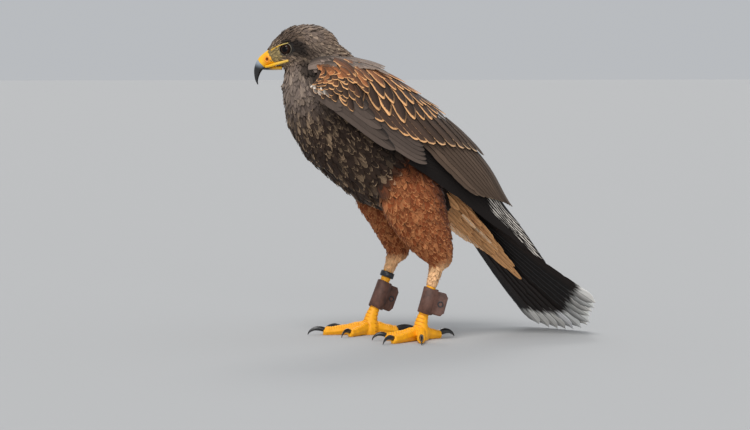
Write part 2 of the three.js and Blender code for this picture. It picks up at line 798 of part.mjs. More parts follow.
// The finished bird

function buildBird() {
  const solids = new Map();
  const add = (name, colour, solid) => solids.set(name, { colour, solid: largest(solid) });
  const onSide = (name, solid) => (name === "left" ? solid : mirrored(solid));

  const beds = [wingBed, mirrored(wingBed)];
  const body = joined([trunk(0), onHead(face()), bothSides(wingSeat(0))]);
  const headCut = { normal: [-0.334, 0, 0.943], at: vec(-92, 0, 281) };
  const neckCut = { normal: [-0.5, 0, 0.866], at: vec(-80, 0, 250) };
  const above = (solid, plane, shift) => solid.trimByPlane(plane.normal, plane.at.dot(vec(...plane.normal)) + shift);
  const below = (solid, plane, shift) => {
    const turned = { normal: plane.normal.map((n) => -n), at: plane.at };
    return above(solid, turned, shift);
  };

  const eyes = bothSides(ball(EYE_RADIUS, EYE_AT));
  const eyeRoom = bothSides(ball(EYE_RADIUS + GAP, EYE_AT));
  const cereRoom = loft(CERE, { sides: 12, rings: 4, grow: GAP }).add(bothSides(loft(GAPE, { sides: 6, rings: 4, grow: GAP })));
  const lowerRoom = loft(LOWER_BILL, { sides: 10, rings: 6, grow: GAP });
  const bill = cut(upperBill(), [loft(CERE, { sides: 12, rings: 4, grow: GAP }), lowerRoom]);
  add("head", "plumage", cut(above(body, headCut, GAP / 2), [onHead(eyeRoom), onHead(cereRoom), onHead(lowerRoom)]));
  add("neck", "plumage", cut(below(above(body, neckCut, GAP / 2), headCut, GAP / 2), beds));
  add("cere", "cere", onHead(cut(cere(), [lowerRoom])));
  add("bill_upper", "bill", onHead(bill));
  add("bill_lower", "bill", onHead(lowerBill()));
  const eyeHalf = (side) => ball(EYE_RADIUS, vec(EYE_AT.x, side * EYE_AT.y, EYE_AT.z));
  add("eye_left", "eye", onHead(eyeHalf(1)));
  add("eye_right", "eye", onHead(eyeHalf(-1)));

  const trunkRoom = trunk(GAP).add(bothSides(wingSeat(GAP)));
  const torso = cut(below(body, neckCut, GAP / 2), beds);
  add("torso", "plumage", torso);
  add("tail", "tail", cut(tail(), [trunkRoom, ground]));
  add("undertail_coverts", "cream", cut(undertailCoverts(), [trunkRoom]));
  add("uppertail_coverts", "cream", cut(uppertailCoverts(), [trunkRoom, ...beds]));

  for (const [name, leg] of Object.entries(LEGS)) {
    const wing = {
      coverts: wingCoverts(),
      secondaries: wingSecondaries(),
      primaries: wingPrimaries(),
      alula: wingAlula(),
    };
    for (const [tier, solid] of Object.entries(wing)) {
      add(`wing_${name}_${tier}`, tier === "coverts" ? "rufous" : "flight", onSide(name, solid));
    }
    const shank = tarsus(leg);
    const shankRoom = tarsus(leg, GAP);
    add(`thigh_${name}`, "rufous", cut(loft(leg.thigh, { sides: 14, rings: 7 }), [trunkRoom, ...beds, shankRoom]));
    const pad = onFoot(leg, 0, footPad());
    const padRoom = onFoot(leg, 0, footPad(GAP));
    add(`tarsus_${name}`, "skin", cut(shank, [padRoom]));
    add(`foot_${name}`, "skin", cut(pad, [ground]));
    const webs = WEBS.map((turn) => onFoot(leg, turn, webSlot));
    DIGITS.forEach((digit, i) => {
      const horn = onFoot(leg, digit.turn, claw(digit));
      const hornRoom = onFoot(leg, digit.turn, loftRoom(digit));
      const finger = cut(onFoot(leg, digit.turn, toe(digit)), [padRoom, ground, hornRoom, ...webs]);
      add(`toe_${name}_${i + 1}`, "skin", finger);
      add(`claw_${name}_${i + 1}`, "horn", cut(horn, [ground]));
    });
    add(`anklet_${name}`, "leather", anklet(leg, name === "left" ? -20 : 10));
  }
  add("leg_ring", "ring", legRing(LEGS.right));

  const boxes = [...solids.values()].map(({ solid }) => solid.boundingBox());
  const middle = (k) => (Math.min(...boxes.map((b) => b.min[k])) + Math.max(...boxes.map((b) => b.max[k]))) / 2;
  const bird = new THREE.Group();
  bird.position.set(-middle(0), -middle(1), 0);
  for (const [name, { colour, solid }] of solids) {
    const material = new THREE.MeshStandardMaterial({ color: COLOURS[colour], roughness: 0.8, metalness: 0 });
    const mesh = new THREE.Mesh(geometryOf(solid), material);
    mesh.name = name;
    bird.add(mesh);
  }
  return bird;
}

// The room that a claw's base takes in the end of its toe.
function loftRoom(digit) {
  const thick = digit.clawThick;
  const base = vec(digit.length - 2.6, 0, 5);
  const stations = [
    { at: base.clone().add(vec(-0.1, 0, 0)), up: thick * 0.9, down: thick * 0.9, side: thick * 0.72 },
    { at: base.clone().add(vec(3 + digit.claw * 0.24, 0, 2)), up: thick, down: thick, side: thick * 0.75 },
  ];
  return loft(stations, { sides: 8, rings: 3, grow: GAP });
}

export default buildBird();
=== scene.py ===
"""Looks of a life-size young Harris's hawk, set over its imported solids.

Sizes and places are in millimetres, in the bird's own frame: +Z up from the floor, the bird faces -X and its
left side faces -Y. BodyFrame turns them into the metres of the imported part.
"""

from __future__ import annotations

import logging
import math
from collections.abc import Callable, Sequence
from dataclasses import dataclass, fields, replace
from enum import Enum

import bmesh
import bpy
import numpy as np
from bmesh.types import BMEdge, BMesh, BMVert
from bpy.types import Material, Mesh, Node, NodeSocket, NodeTree, Object
from mathutils import Matrix, Vector
from mathutils.bvhtree import BVHTree
from mathutils.kdtree import KDTree
from numpy.random import Generator

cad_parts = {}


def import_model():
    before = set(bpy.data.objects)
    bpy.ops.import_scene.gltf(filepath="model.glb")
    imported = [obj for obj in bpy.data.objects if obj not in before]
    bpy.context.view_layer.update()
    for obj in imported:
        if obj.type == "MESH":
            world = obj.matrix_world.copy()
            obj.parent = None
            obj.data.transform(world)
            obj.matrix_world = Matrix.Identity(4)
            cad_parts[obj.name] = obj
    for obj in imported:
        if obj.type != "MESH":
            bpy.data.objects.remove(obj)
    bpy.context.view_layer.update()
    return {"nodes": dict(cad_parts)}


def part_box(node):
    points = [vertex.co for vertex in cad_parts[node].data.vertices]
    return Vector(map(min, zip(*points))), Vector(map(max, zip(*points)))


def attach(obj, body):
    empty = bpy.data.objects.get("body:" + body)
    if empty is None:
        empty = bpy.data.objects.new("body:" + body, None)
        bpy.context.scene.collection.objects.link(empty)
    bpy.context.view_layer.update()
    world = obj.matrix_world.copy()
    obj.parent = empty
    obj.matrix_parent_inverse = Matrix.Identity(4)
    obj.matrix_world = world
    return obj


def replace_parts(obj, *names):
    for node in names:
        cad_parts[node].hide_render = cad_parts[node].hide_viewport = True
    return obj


LOG = logging.getLogger("hawk")
MM = 0.001
BODY = "root"
Triple = tuple[float, float, float]
Array = np.ndarray


# Curves and frames


class Ease(Enum):
    """How a spline is spaced between its points."""

    CENTRIPETAL = "centripetal"
    UNIFORM = "uniform"


@dataclass
class Spline:
    """A Catmull-Rom curve through points, read at 0 to 1."""

    points: list[Triple]
    ease: Ease = Ease.CENTRIPETAL

    def at(self, where: Array) -> Array:
        """A row of coordinates for each place along the curve, 0 to 1."""
        knots = np.array(self.points, float)
        first = 2 * knots[0] - knots[1]
        last = 2 * knots[-1] - knots[-2]
        padded = np.vstack([first, knots, last])
        spans = len(knots) - 1
        place = np.clip(np.asarray(where, float), 0, 1) * spans
        index = np.minimum(place.astype(int), spans - 1)
        t = (place - index)[..., None]
        p0, p1, p2, p3 = (padded[index + k] for k in range(4))
        if self.ease is Ease.UNIFORM:
            start, end = (p2 - p0) / 2, (p3 - p1) / 2
        else:
            start, end = self._centripetal(p0, p1, p2, p3)
        cubic = 2 * p1 - 2 * p2 + start + end
        square = -3 * p1 + 3 * p2 - 2 * start - end
        return p1 + start * t + square * t**2 + cubic * t**3

    @staticmethod
    def _centripetal(
        p0: Array, p1: Array, p2: Array, p3: Array
    ) -> tuple[Array, Array]:
        """The tangents at the two inner points of a centripetal span."""
        d0, d1, d2 = (
            np.linalg.norm(b - a, axis=-1, keepdims=True) ** 0.5 for a, b in ((p0, p1), (p1, p2), (p2, p3))
        )
        start = ((p1 - p0) / d0 - (p2 - p0) / (d0 + d1) + (p2 - p1) / d1) * d1
        end = ((p2 - p1) / d1 - (p3 - p1) / (d1 + d2) + (p3 - p2) / d2) * d1
        return start, end

    def tangent(self, where: Array) -> Array:
        """Unit directions of the curve at places 0 to 1."""
        step = 1e-3
        here = np.clip(np.asarray(where, float), step, 1 - step)
        return unit(self.at(here + step) - self.at(here - step))


def unit(vectors: Array) -> Array:
    """Vectors scaled to length one."""
    return vectors / np.maximum(np.linalg.norm(vectors, axis=-1, keepdims=True), 1e-9)


def blend(low: Array | float, high: Array | float, share: Array | float) -> Array:
    """A value between two others, also for arrays."""
    return low + (high - low) * share


def ramp(value: Array, start: float, end: float) -> Array:
    """A smooth rise from 0 at start to 1 at end."""
    t = np.clip((value - start) / (end - start), 0, 1)
    return t * t * (3 - 2 * t)


def shade(red: float, green: float, blue: float) -> Triple:
    """A linear colour from 0 to 255 display values."""
    display = np.array([red, green, blue]) / 255
    linear = np.where(display <= 0.04045, display / 12.92, ((display + 0.055) / 1.055) ** 2.4)
    return tuple(float(x) for x in linear)


class Paint(Enum):
    """A set of named linear colours."""

    @property
    def rgb(self) -> Array:
        """The colour as an array."""
        return np.array(self.value)


def through(points: Array, matrix: Matrix) -> Array:
    """Points moved by a matrix."""
    rows = np.array(matrix)
    return points @ rows[:3, :3].T + rows[:3, 3]


@dataclass
class HeadFrame:
    """The head's own frame: it faces +X and its left side is +Y."""

    centre: Triple = (-97, 0, 301)
    yaw: float = 18

    def matrix(self) -> Matrix:
        """From the head's frame to the bird's."""
        return Matrix.Translation(self.centre) @ Matrix.Rotation(math.pi - math.radians(self.yaw), 4, "Z")

    def place(self, points: Array) -> Array:
        """Points of the head's frame in the bird's."""
        return through(points, self.matrix())

    def local(self, points: Array) -> Array:
        """Points of the bird's frame in the head's."""
        matrix = np.array(self.matrix())
        return (points - matrix[:3, 3]) @ matrix[:3, :3]


HEAD = HeadFrame()
EYE_SOLID_AT: Triple = (25.5, 10.6, 2)
EYE_AT: Triple = (24.3, 10.8, 0.3)
EYE_RADIUS = 7.4


class BodyFrame:
    """The move from the bird's frame, in millimetres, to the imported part's, in metres."""

    def __init__(self) -> None:
        low, high = (np.array(corner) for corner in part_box("eye_left"))
        eye = HEAD.place(np.array([EYE_SOLID_AT]))[0]
        self.shift = (low + high) / 2 - eye * MM
        self.shift[2] = 0

    def out(self, points: Array) -> Array:
        """Millimetres of the bird's frame to metres of the part's."""
        return points * MM + self.shift

    def back(self, points: Array) -> Array:
        """Metres of the part's frame to millimetres of the bird's."""
        return (points - self.shift) / MM


# Meshes


def new_object(name: str, mesh: Mesh, material: Material, slot: str) -> Object:
    """A shown object that rides on the bird.

    Args:
        name: the piece's name.
        mesh: its mesh, in metres.
        material: its finish.
        slot: the record's material slot that its finish comes from; not used.

    Returns:
        The object, linked to the scene.
    """
    mesh.materials.append(material)
    piece = bpy.data.objects.new(name, mesh)
    bpy.context.scene.collection.objects.link(piece)
    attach(piece, BODY)
    return piece


def mesh_of(shape: BMesh, name: str) -> Mesh:
    """A mesh from a bmesh, with its faces turned outwards."""
    bmesh.ops.recalc_face_normals(shape, faces=shape.faces)
    mesh = bpy.data.meshes.new(name)
    shape.to_mesh(mesh)
    shape.free()
    mesh.polygons.foreach_set("use_smooth", np.ones(len(mesh.polygons), bool))
    return mesh


def rows_of(items: bpy.types.bpy_prop_collection, name: str, kind: type) -> Array:
    """A property of many items, as rows of three numbers."""
    flat = np.empty(len(items) * 3, kind)
    items.foreach_get(name, flat)
    return flat.reshape(-1, 3)


def points_of(mesh: Mesh) -> Array:
    """The vertices of a mesh as rows of coordinates."""
    return rows_of(mesh.vertices, "co", np.float32).astype(float)


def set_points(mesh: Mesh, points: Array) -> None:
    """Moves the vertices of a mesh."""
    mesh.vertices.foreach_set("co", points.astype(np.float32).ravel())
    mesh.update()


def normals_of(mesh: Mesh) -> Array:
    """The vertex normals of a mesh as rows."""
    return rows_of(mesh.vertex_normals, "vector", np.float32).astype(float)


def triangles_of(mesh: Mesh) -> Array:
    """The triangles of a mesh as rows of three vertices."""
    mesh.calc_loop_triangles()
    return rows_of(mesh.loop_triangles, "vertices", np.int32)


def tree_of(mesh: Mesh, frame: BodyFrame) -> BVHTree:
    """A mesh as a tree that finds its nearest points, in the bird's frame."""
    return BVHTree.FromPolygons(frame.back(points_of(mesh)).tolist(), triangles_of(mesh).tolist())


def paint(mesh: Mesh, name: str, colours: Array) -> None:
    """Stores a row of three values for each vertex, such as a colour, under an attribute's name."""
    layer = mesh.color_attributes.new(name, "FLOAT_COLOR", "POINT")
    rows = np.ones((len(mesh.vertices), 4), np.float32)
    rows[:, :3] = colours
    layer.data.foreach_set("color", rows.ravel())


@dataclass
class Ring:
    """One section of a lofted form: its centre and its reach up, down and to each side."""

    at: Triple
    up: float
    down: float
    side: float

    def mirrored(self, side: int) -> Ring:
        """The section itself for side 1, or its mirror image for side -1."""
        return replace(self, at=(self.at[0], self.at[1] * side, self.at[2]))


def swept(shape: BMesh, sides: int, steps: int) -> tuple[list[tuple[float, float]], list[list[BMVert]]]:
    """Adds an open tube whose rings are still to be placed.

    Args:
        shape: an empty shape.
        sides: the points of each ring.
        steps: the runs between rings.

    Returns:
        The points of a round ring of radius one, and each ring's vertices in the same order.
    """
    bmesh.ops.create_circle(shape, cap_ends=False, segments=sides, radius=1)
    circle = [(v.co.x, v.co.y) for v in shape.verts]
    edges, rings = list(shape.edges), [list(shape.verts)]
    for _ in range(steps):
        made = bmesh.ops.extrude_edge_only(shape, edges=edges)["geom"]
        edges = [item for item in made if isinstance(item, BMEdge)]
        fresh = {item for item in made if isinstance(item, BMVert)}
        joined = [[edge.other_vert(vert) for edge in vert.link_edges] for vert in rings[-1]]
        rings.append([next(vert for vert in near if vert in fresh) for near in joined])
    return circle, rings


@dataclass
class Loft:
    """A closed form of changing section along a smooth spine, like the solid that it stands for."""

    rings: list[Ring]
    sides: int
    steps: int

    def build(self) -> BMesh:
        """The form as a bmesh, in the frame of its rings."""
        spine = Spline([ring.at for ring in self.rings])
        sizes = Spline([(ring.up, ring.down, ring.side) for ring in self.rings], Ease.UNIFORM)
        where = np.linspace(0, 1, self.steps + 1)
        centres, along, reach = spine.at(where), spine.tangent(where), sizes.at(where)
        up = unit(np.cross(along, (0, 1, 0)))
        across = unit(np.cross(up, along))
        shape = bmesh.new()
        circle, rings = swept(shape, self.sides, self.steps)
        for k, ring in enumerate(rings):
            for vert, (x, y) in zip(ring, circle):
                height = y * (reach[k, 0] if y > 0 else reach[k, 1])
                vert.co = Vector(centres[k] + up[k] * height + across[k] * x * reach[k, 2])
        bmesh.ops.holes_fill(shape, edges=shape.edges)
        return shape


# The sheets that the wing and tail feathers lie on


@dataclass
class WingSheet:
    """The left wing's curved sheet: a runs back along it and b up across it."""

    low: tuple[Triple, ...] = (
        (-110, -41, 262), (-90, -49, 240), (-56, -54, 212), (-18, -55, 187), (20, -53, 169),
        (58, -48, 147), (95, -41, 121), (125, -36, 96), (150, -32, 72),
    )
    high: tuple[Triple, ...] = (
        (-103, -35, 280), (-68, -22, 281), (-27, -14, 265), (13, -13, 241), (50, -15, 214),
        (80, -19, 182), (102, -24, 140), (130, -25, 106), (155, -27, 77.5),
    )
    swell: tuple[float, ...] = (3, 11, 14, 15, 12, 8, 3, 2, 1)

    def __post_init__(self) -> None:
        """Makes the splines of the sheet's edges."""
        self._low = Spline(self.low)
        self._high = Spline(self.high)
        self._swell = Spline([(s, 0, 0) for s in self.swell])

    def at(self, a: Array, b: Array, h: Array | float) -> Array:
        """Points above the sheet, at shares a of the way back and b of the way up, and at heights h."""
        low, high = self._low.at(a), self._high.at(a)
        chord = high - low
        share = np.clip(b, 0, 1)[..., None]
        along = blend(self._low.tangent(a), self._high.tangent(a), share)
        out = unit(np.cross(along, chord))
        swell = self._swell.at(a)[..., :1] * 4
        b = np.asarray(b)[..., None]
        rise = chord + out * swell * (1 - 2 * b)
        normal = unit(np.cross(along, rise))
        return low + chord * b + out * swell * b * (1 - b) + normal * np.asarray(h)[..., None]


@dataclass
class TailSheet:
    """The tail's sheet: s runs along it from its root and y to the bird's right."""

    length: float = 232
    slopes: tuple[float, float] = (50, 38)
    root: tuple[float, float] = (45, 165)
    roll: float = 18

    def at(self, s: Array, y: Array, h: Array | float) -> Array:
        """Points above the tail's sheet, at s along, y across and h towards its upper side."""
        half = self.length / 2
        steep, flat = (math.radians(slope) for slope in self.slopes)
        start = np.array([self.root[0], 0, self.root[1]])
        bend = start + half * np.array([math.cos(steep), 0, -math.sin(steep)])
        end = bend + half * np.array([math.cos(flat), 0, -math.sin(flat)])
        t = (np.asarray(s) / self.length)[..., None]
        middle = start * (1 - t) ** 2 + 2 * bend * t * (1 - t) + end * t**2
        held = np.clip(t, 0, 1)
        along = unit((bend - start) * (1 - held) + (end - bend) * held)
        up = np.stack([-along[..., 2], np.zeros_like(along[..., 0]), along[..., 0]], axis=-1)
        turn = math.radians(self.roll)
        side = np.array([0, math.cos(turn), 0]) - up * math.sin(turn)
        normal = up * math.cos(turn) + np.array([0, math.sin(turn), 0])
        return middle + side * np.asarray(y)[..., None] + normal * np.asarray(h)[..., None]


WING = WingSheet()
TAIL = TailSheet()


# Feathers


@dataclass(frozen=True)
class Look:
    """A feather's colours and markings, as numbers from 0 to 1."""

    base: Array
    edge: Array
    rim: float = 0.0
    streak: float = 0.0
    bars: float = 0.0
    tip: float = 0.0
    inner: float = 0.0


def tinted(look: Look, rng: Generator, spread: float = 0.12) -> Look:
    """The same look, a little lighter or darker."""
    base = np.clip(look.base * (1 + rng.normal(0, spread)), 0, 1)
    edge = np.clip(look.edge * (1 + rng.normal(0, spread * 0.7)), 0, 1)
    return replace(look, base=base, edge=edge)


class FeatherMesh:
    """Gathers many feathers, each a grid of points, into one mesh."""

    def __init__(self) -> None:
        self.points: list[Array] = []
        self.quads: list[Array] = []
        self.uvs: list[Array] = []
        self.marks: dict[str, list[Array]] = {"base": [], "edge": [], "mark": [], "more": []}
        self.roots: list[Array] = []
        self.strips: list[Array] = []
        self.count = 0

    def add(self, grid: Array, uv: Array, looks: dict[str, Array], root: Array) -> None:
        """Adds feathers that share one pattern of grid.

        Args:
            grid: points, shaped feathers x rows x columns x 3.
            uv: across and along, shaped rows x columns x 2.
            looks: for each mark, one row of three for each feather.
            root: where each feather grows, for its patch in the baked picture.
        """
        n, rows, cols, _ = grid.shape
        each = rows * cols
        index = np.arange(each).reshape(rows, cols)
        corners = (index[:-1, :-1], index[:-1, 1:], index[1:, 1:], index[1:, :-1])
        quad = np.stack(corners, axis=-1).reshape(1, -1, 4)
        starts = self.count + np.arange(n) * each
        self.quads.append((quad + starts[:, None, None]).reshape(-1, 4))
        self.points.append(grid.reshape(-1, 3))
        self.uvs.append(np.tile(uv.reshape(-1, 2), (n, 1)))
        for name, values in looks.items():
            self.marks[name].append(np.repeat(values, each, axis=0))
        self.roots.append(np.repeat(root, each, axis=0))
        x, y = np.meshgrid(np.linspace(0, 1, cols), uv[:, 0, 1])
        self.strips.append(np.stack([x, y], axis=-1).reshape(-1, 2))
        self.count += n * each

    def build(self, name: str, frame: BodyFrame) -> Mesh:
        """The gathered feathers as one mesh in metres."""
        points = frame.out(np.concatenate(self.points))
        quads = np.concatenate(self.quads)
        mesh = bpy.data.meshes.new(name)
        mesh.vertices.add(len(points))
        mesh.vertices.foreach_set("co", points.astype(np.float32).ravel())
        mesh.loops.add(quads.size)
        mesh.loops.foreach_set("vertex_index", quads.astype(np.int32).ravel())
        mesh.polygons.add(len(quads))
        mesh.polygons.foreach_set("loop_start", np.arange(0, quads.size, 4, dtype=np.int32))
        mesh.polygons.foreach_set("use_smooth", np.ones(len(quads), bool))
        mesh.update(calc_edges=True)
        self._map(mesh, "Vane", np.concatenate(self.uvs))
        for layer, rows in self.marks.items():
            paint(mesh, layer, np.concatenate(rows))
        return mesh

    def _map(self, mesh: Mesh, name: str, places: Array) -> None:
        """Adds a map from one place for each vertex."""
        corners = np.concatenate(self.quads).ravel()
        layer = mesh.uv_layers.new(name=name)
        layer.data.foreach_set("uv", places[corners].astype(np.float32).ravel())

    def bake_map(self, mesh: Mesh, unwrap: Array, patch: float = 0.003) -> None:
        """Gives each feather a small patch at its root's place on the skin's unwrap."""
        self._map(mesh, "OFBake", unwrap + (np.concatenate(self.uvs) - 0.5) * patch)

    def sheet_map(self, mesh: Mesh) -> None:
        """Lays each long feather out flat in a cell of its own, for the baked picture."""
        side = math.ceil(math.sqrt(len(self.strips)))
        cells = [np.array([index % side, index // side]) for index in range(len(self.strips))]
        places = [(cell + 0.03 + 0.94 * strip) / side for cell, strip in zip(cells, self.strips)]
        self._map(mesh, "OFBake", np.concatenate(places))


@dataclass
class VaneShape:
    """The grid of one long feather: its rows and columns and its outline."""

    rows: int = 16
    cols: int = 6
    shoulder: float = 0.72
    narrow_root: float = 0.6
    ragged: float = 0.06
    point: float = 2.4

    def grid(self) -> tuple[Array, Array]:
        """Across, -1 to 1, and along, 0 to 1, for each point."""
        along = 1 - (1 - np.linspace(0, 1, self.rows)) ** 1.5
        across = np.linspace(-1, 1, self.cols)
        return np.meshgrid(across, along)

    def width(self, along: Array) -> Array:
        """The outline's half-width at each place along, as a share of its widest."""
        root = blend(self.narrow_root, 1, np.clip(along / 0.4, 0, 1))
        past = np.clip((along - self.shoulder) / (1 - self.shoulder), 0, 1)
        return root * np.sqrt(np.clip(1 - past**self.point, 0.02, 1))

    def fray(self, rng: Generator, along: Array) -> Array:
        """Small gaps and splits along the edge, as shares of the width."""
        notches = rng.normal(0, 1, along.shape[0])
        notches = np.where(rng.random(along.shape[0]) < 0.25, notches * 1.6, notches * 0.4)
        return 1 - self.ragged * np.abs(notches)[:, None]


def thick_grid(face: Array, normal: Array, thickness: float) -> Array:
    """A vane's upper face, then its under face run back, as one grid whose end columns meet.

    Args:
        face: the upper face's points, rows x columns x 3.
        normal: the way that the upper face looks at each point.
        thickness: the vane's thickness at its shaft.
    """
    cols = face.shape[1]
    share = 1 - 0.75 * np.abs(np.linspace(-1, 1, cols)) ** 1.5
    under = face - normal * (thickness * share)[None, :, None]
    return np.concatenate([face, under[:, ::-1], face[:, :1]], axis=1)


def strip_uv(across: Array, along: Array) -> Array:
    """The vane's own map for a grid that thick_grid made."""
    face = np.stack([across * 0.5 + 0.5, along], axis=-1)
    return np.concatenate([face, face[:, ::-1], face[:, :1]], axis=1)


@dataclass
class Vane:
    """One long feather on the wing's sheet, root and tip as shares back and up."""

    root: tuple[float, float]
    tip: tuple[float, float]
    half: float
    base: float
    rise: float = 0
    lift: float = 1.6
    bow: float = 0
    camber: float = 0.5

    def face(self, shape: VaneShape, rng: Generator) -> Array:
        """The vane's upper face on the left wing's sheet."""
        across, along = shape.grid()
        step = 0.004
        a, b = self._path(along)
        here, ahead = WING.at(a, b, 0), WING.at(*self._path(along + step), 0)
        shaft = unit(ahead - here)
        by_a = (WING.at(a + step, b, 0) - WING.at(a - step, b, 0)) / (2 * step)
        by_b = (WING.at(a, b + step, 0) - here) / step
        out = unit(np.cross(by_a, by_b))
        reach = across * self.half * shape.width(along) * shape.fray(rng, along)
        move = np.cross(out, shaft) * reach[..., None]
        da, db = self._in_plane(move, by_a, by_b)
        height = self.base + self.rise * along + self.lift * (0.5 - 0.5 * across)
        height = height + self.camber * (1 - across**2)
        return WING.at(np.clip(a + da, 0, 1), b + db, height)

    def _path(self, along: Array) -> tuple[Array, Array]:
        """The shaft's shares back and up."""
        bow = self.bow * np.sin(math.pi * along)
        return blend(self.root[0], self.tip[0], along), blend(self.root[1], self.tip[1], along) + bow

    @staticmethod
    def _in_plane(move: Array, u: Array, v: Array) -> tuple[Array, Array]:
        """Shares of u and v that add up to a move in their plane."""
        uu, uv, vv = (u * u).sum(-1), (u * v).sum(-1), (v * v).sum(-1)
        mu, mv = (move * u).sum(-1), (move * v).sum(-1)
        whole = uu * vv - uv * uv
        return (mu * vv - mv * uv) / whole, (mv * uu - mu * uv) / whole


@dataclass
class TailVane:
    """One feather on the tail's sheet."""

    start: float
    side: float
    turn: float
    length: float
    half: float
    height: float
    tucked: float = 0
    lift: float = 1.6
    root: float = 0.3

    def face(self, shape: VaneShape, rng: Generator) -> Array:
        """The feather's upper face."""
        across, along = shape.grid()
        past = np.clip((along - shape.shoulder) / (1 - shape.shoulder), 0, 1)
        width = self.half * blend(self.root, 1, along) * np.sqrt(np.clip(1 - past**shape.point, 0.03, 1))
        reach = across * width * shape.fray(rng, along)
        far = self.length * along * (1 - 0.02 * np.abs(across))
        cos, sin = math.cos(self.turn), math.sin(self.turn)
        forward = self.start + far * cos - reach * sin
        sideways = self.side + far * sin + reach * cos
        share = 0.5 + 0.5 * self.tucked * across if self.tucked else np.zeros_like(across)
        height = self.height - self.lift * share + 0.4 * (1 - across**2)
        return TAIL.at(forward, sideways, height)


@dataclass
class FreeVane:
    """A feather from one point to another, arched outwards."""

    root: Array
    tip: Array
    out: Array
    half: float
    arch: float = 2
    camber: float = 0.8

    def face(self, shape: VaneShape, rng: Generator) -> Array:
        """The feather's upper face."""
        across, along = shape.grid()
        run = along[..., None]
        shaft = self.tip - self.root
        middle = self.root + shaft * run + self.out * self.arch * 4 * run * (1 - run)
        way = unit(shaft + self.out * self.arch * 4 * (1 - 2 * run))
        reach = across * self.half * shape.width(along) * shape.fray(rng, along)
        side = unit(np.cross(self.out, way))
        return middle + side * reach[..., None] + self.out * (self.camber * (1 - across**2))[..., None]


class VaneGroup:
    """Long feathers of one tier, made on the left and mirrored to the right where asked."""

    def __init__(self, frame: BodyFrame, seed: int, sides: tuple[int, ...] = (1, -1)) -> None:
        self.frame = frame
        self.rng = np.random.default_rng(seed)
        self.parts = {side: FeatherMesh() for side in sides}

    def add(
        self, vane: Vane | TailVane | FreeVane, shape: VaneShape, look: Look, thickness: float = 0.55
    ) -> None:
        """Adds one feather, and its mirror image to the other side's mesh."""
        across, along = shape.grid()
        for side, part in self.parts.items():
            face = vane.face(shape, self.rng)
            normal = unit(np.cross(unit(np.gradient(face, axis=0)), unit(np.gradient(face, axis=1))))
            grid, uv = thick_grid(face, normal, thickness), strip_uv(across, along)
            if side < 0:
                grid, uv = (grid * np.array([1, -1, 1]))[:, ::-1], uv[:, ::-1]
            part.add(grid[None], uv, self.marks(tinted(look, self.rng)), grid[:1, 0])

    def marks(self, look: Look) -> dict[str, Array]:
        """A look as rows of three for the mesh."""
        return {
            "base": np.array([look.base]),
            "edge": np.array([look.edge]),
            "mark": np.array([[look.rim, look.streak, look.bars]]),
            "more": np.array([[look.tip, self.rng.random(), look.inner]]),
        }

    def finish(self, name: str, material: Material, slot: str, nodes: dict[int, list[str]]) -> None:
        """Makes the objects of both sides, each in place of its nodes."""
        for side, part in self.parts.items():
            if not part.count or side not in nodes:
                continue
            label = name.format("left" if side > 0 else "right")
            mesh = part.build(label, self.frame)
            part.sheet_map(mesh)
            piece = new_object(label, mesh, material, slot)
            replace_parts(piece, *nodes[side])
            LOG.info("%s: %d faces", label, len(mesh.polygons))


# Shader groups and finishes


def operator(operation: str) -> Callable[..., Value]:
    """A method that adds a Math node of one operation."""
    return lambda value, *others: value.tree.math(operation, value, *others)


@dataclass(frozen=True, eq=False)
class Value:
    """A node's number output, which sums are written with."""

    tree: Tree
    socket: NodeSocket

    def __rsub__(self, other: float) -> Value:
        """A number less the value."""
        return self.tree.math("SUBTRACT", other, self)

    def step(self, start: float, end: float) -> Value:
        """A smooth rise from 0 at start to 1 at end."""
        inputs = {0: self, 1: start, 2: end}
        return self.tree.value("ShaderNodeMapRange", inputs, interpolation_type="SMOOTHSTEP")

    __add__ = operator("ADD")
    __sub__ = operator("SUBTRACT")
    __mul__ = operator("MULTIPLY")
    __pow__ = operator("POWER")
    __gt__ = operator("GREATER_THAN")
    __abs__ = operator("ABSOLUTE")
    at_least = operator("MAXIMUM")
    times_plus = operator("MULTIPLY_ADD")


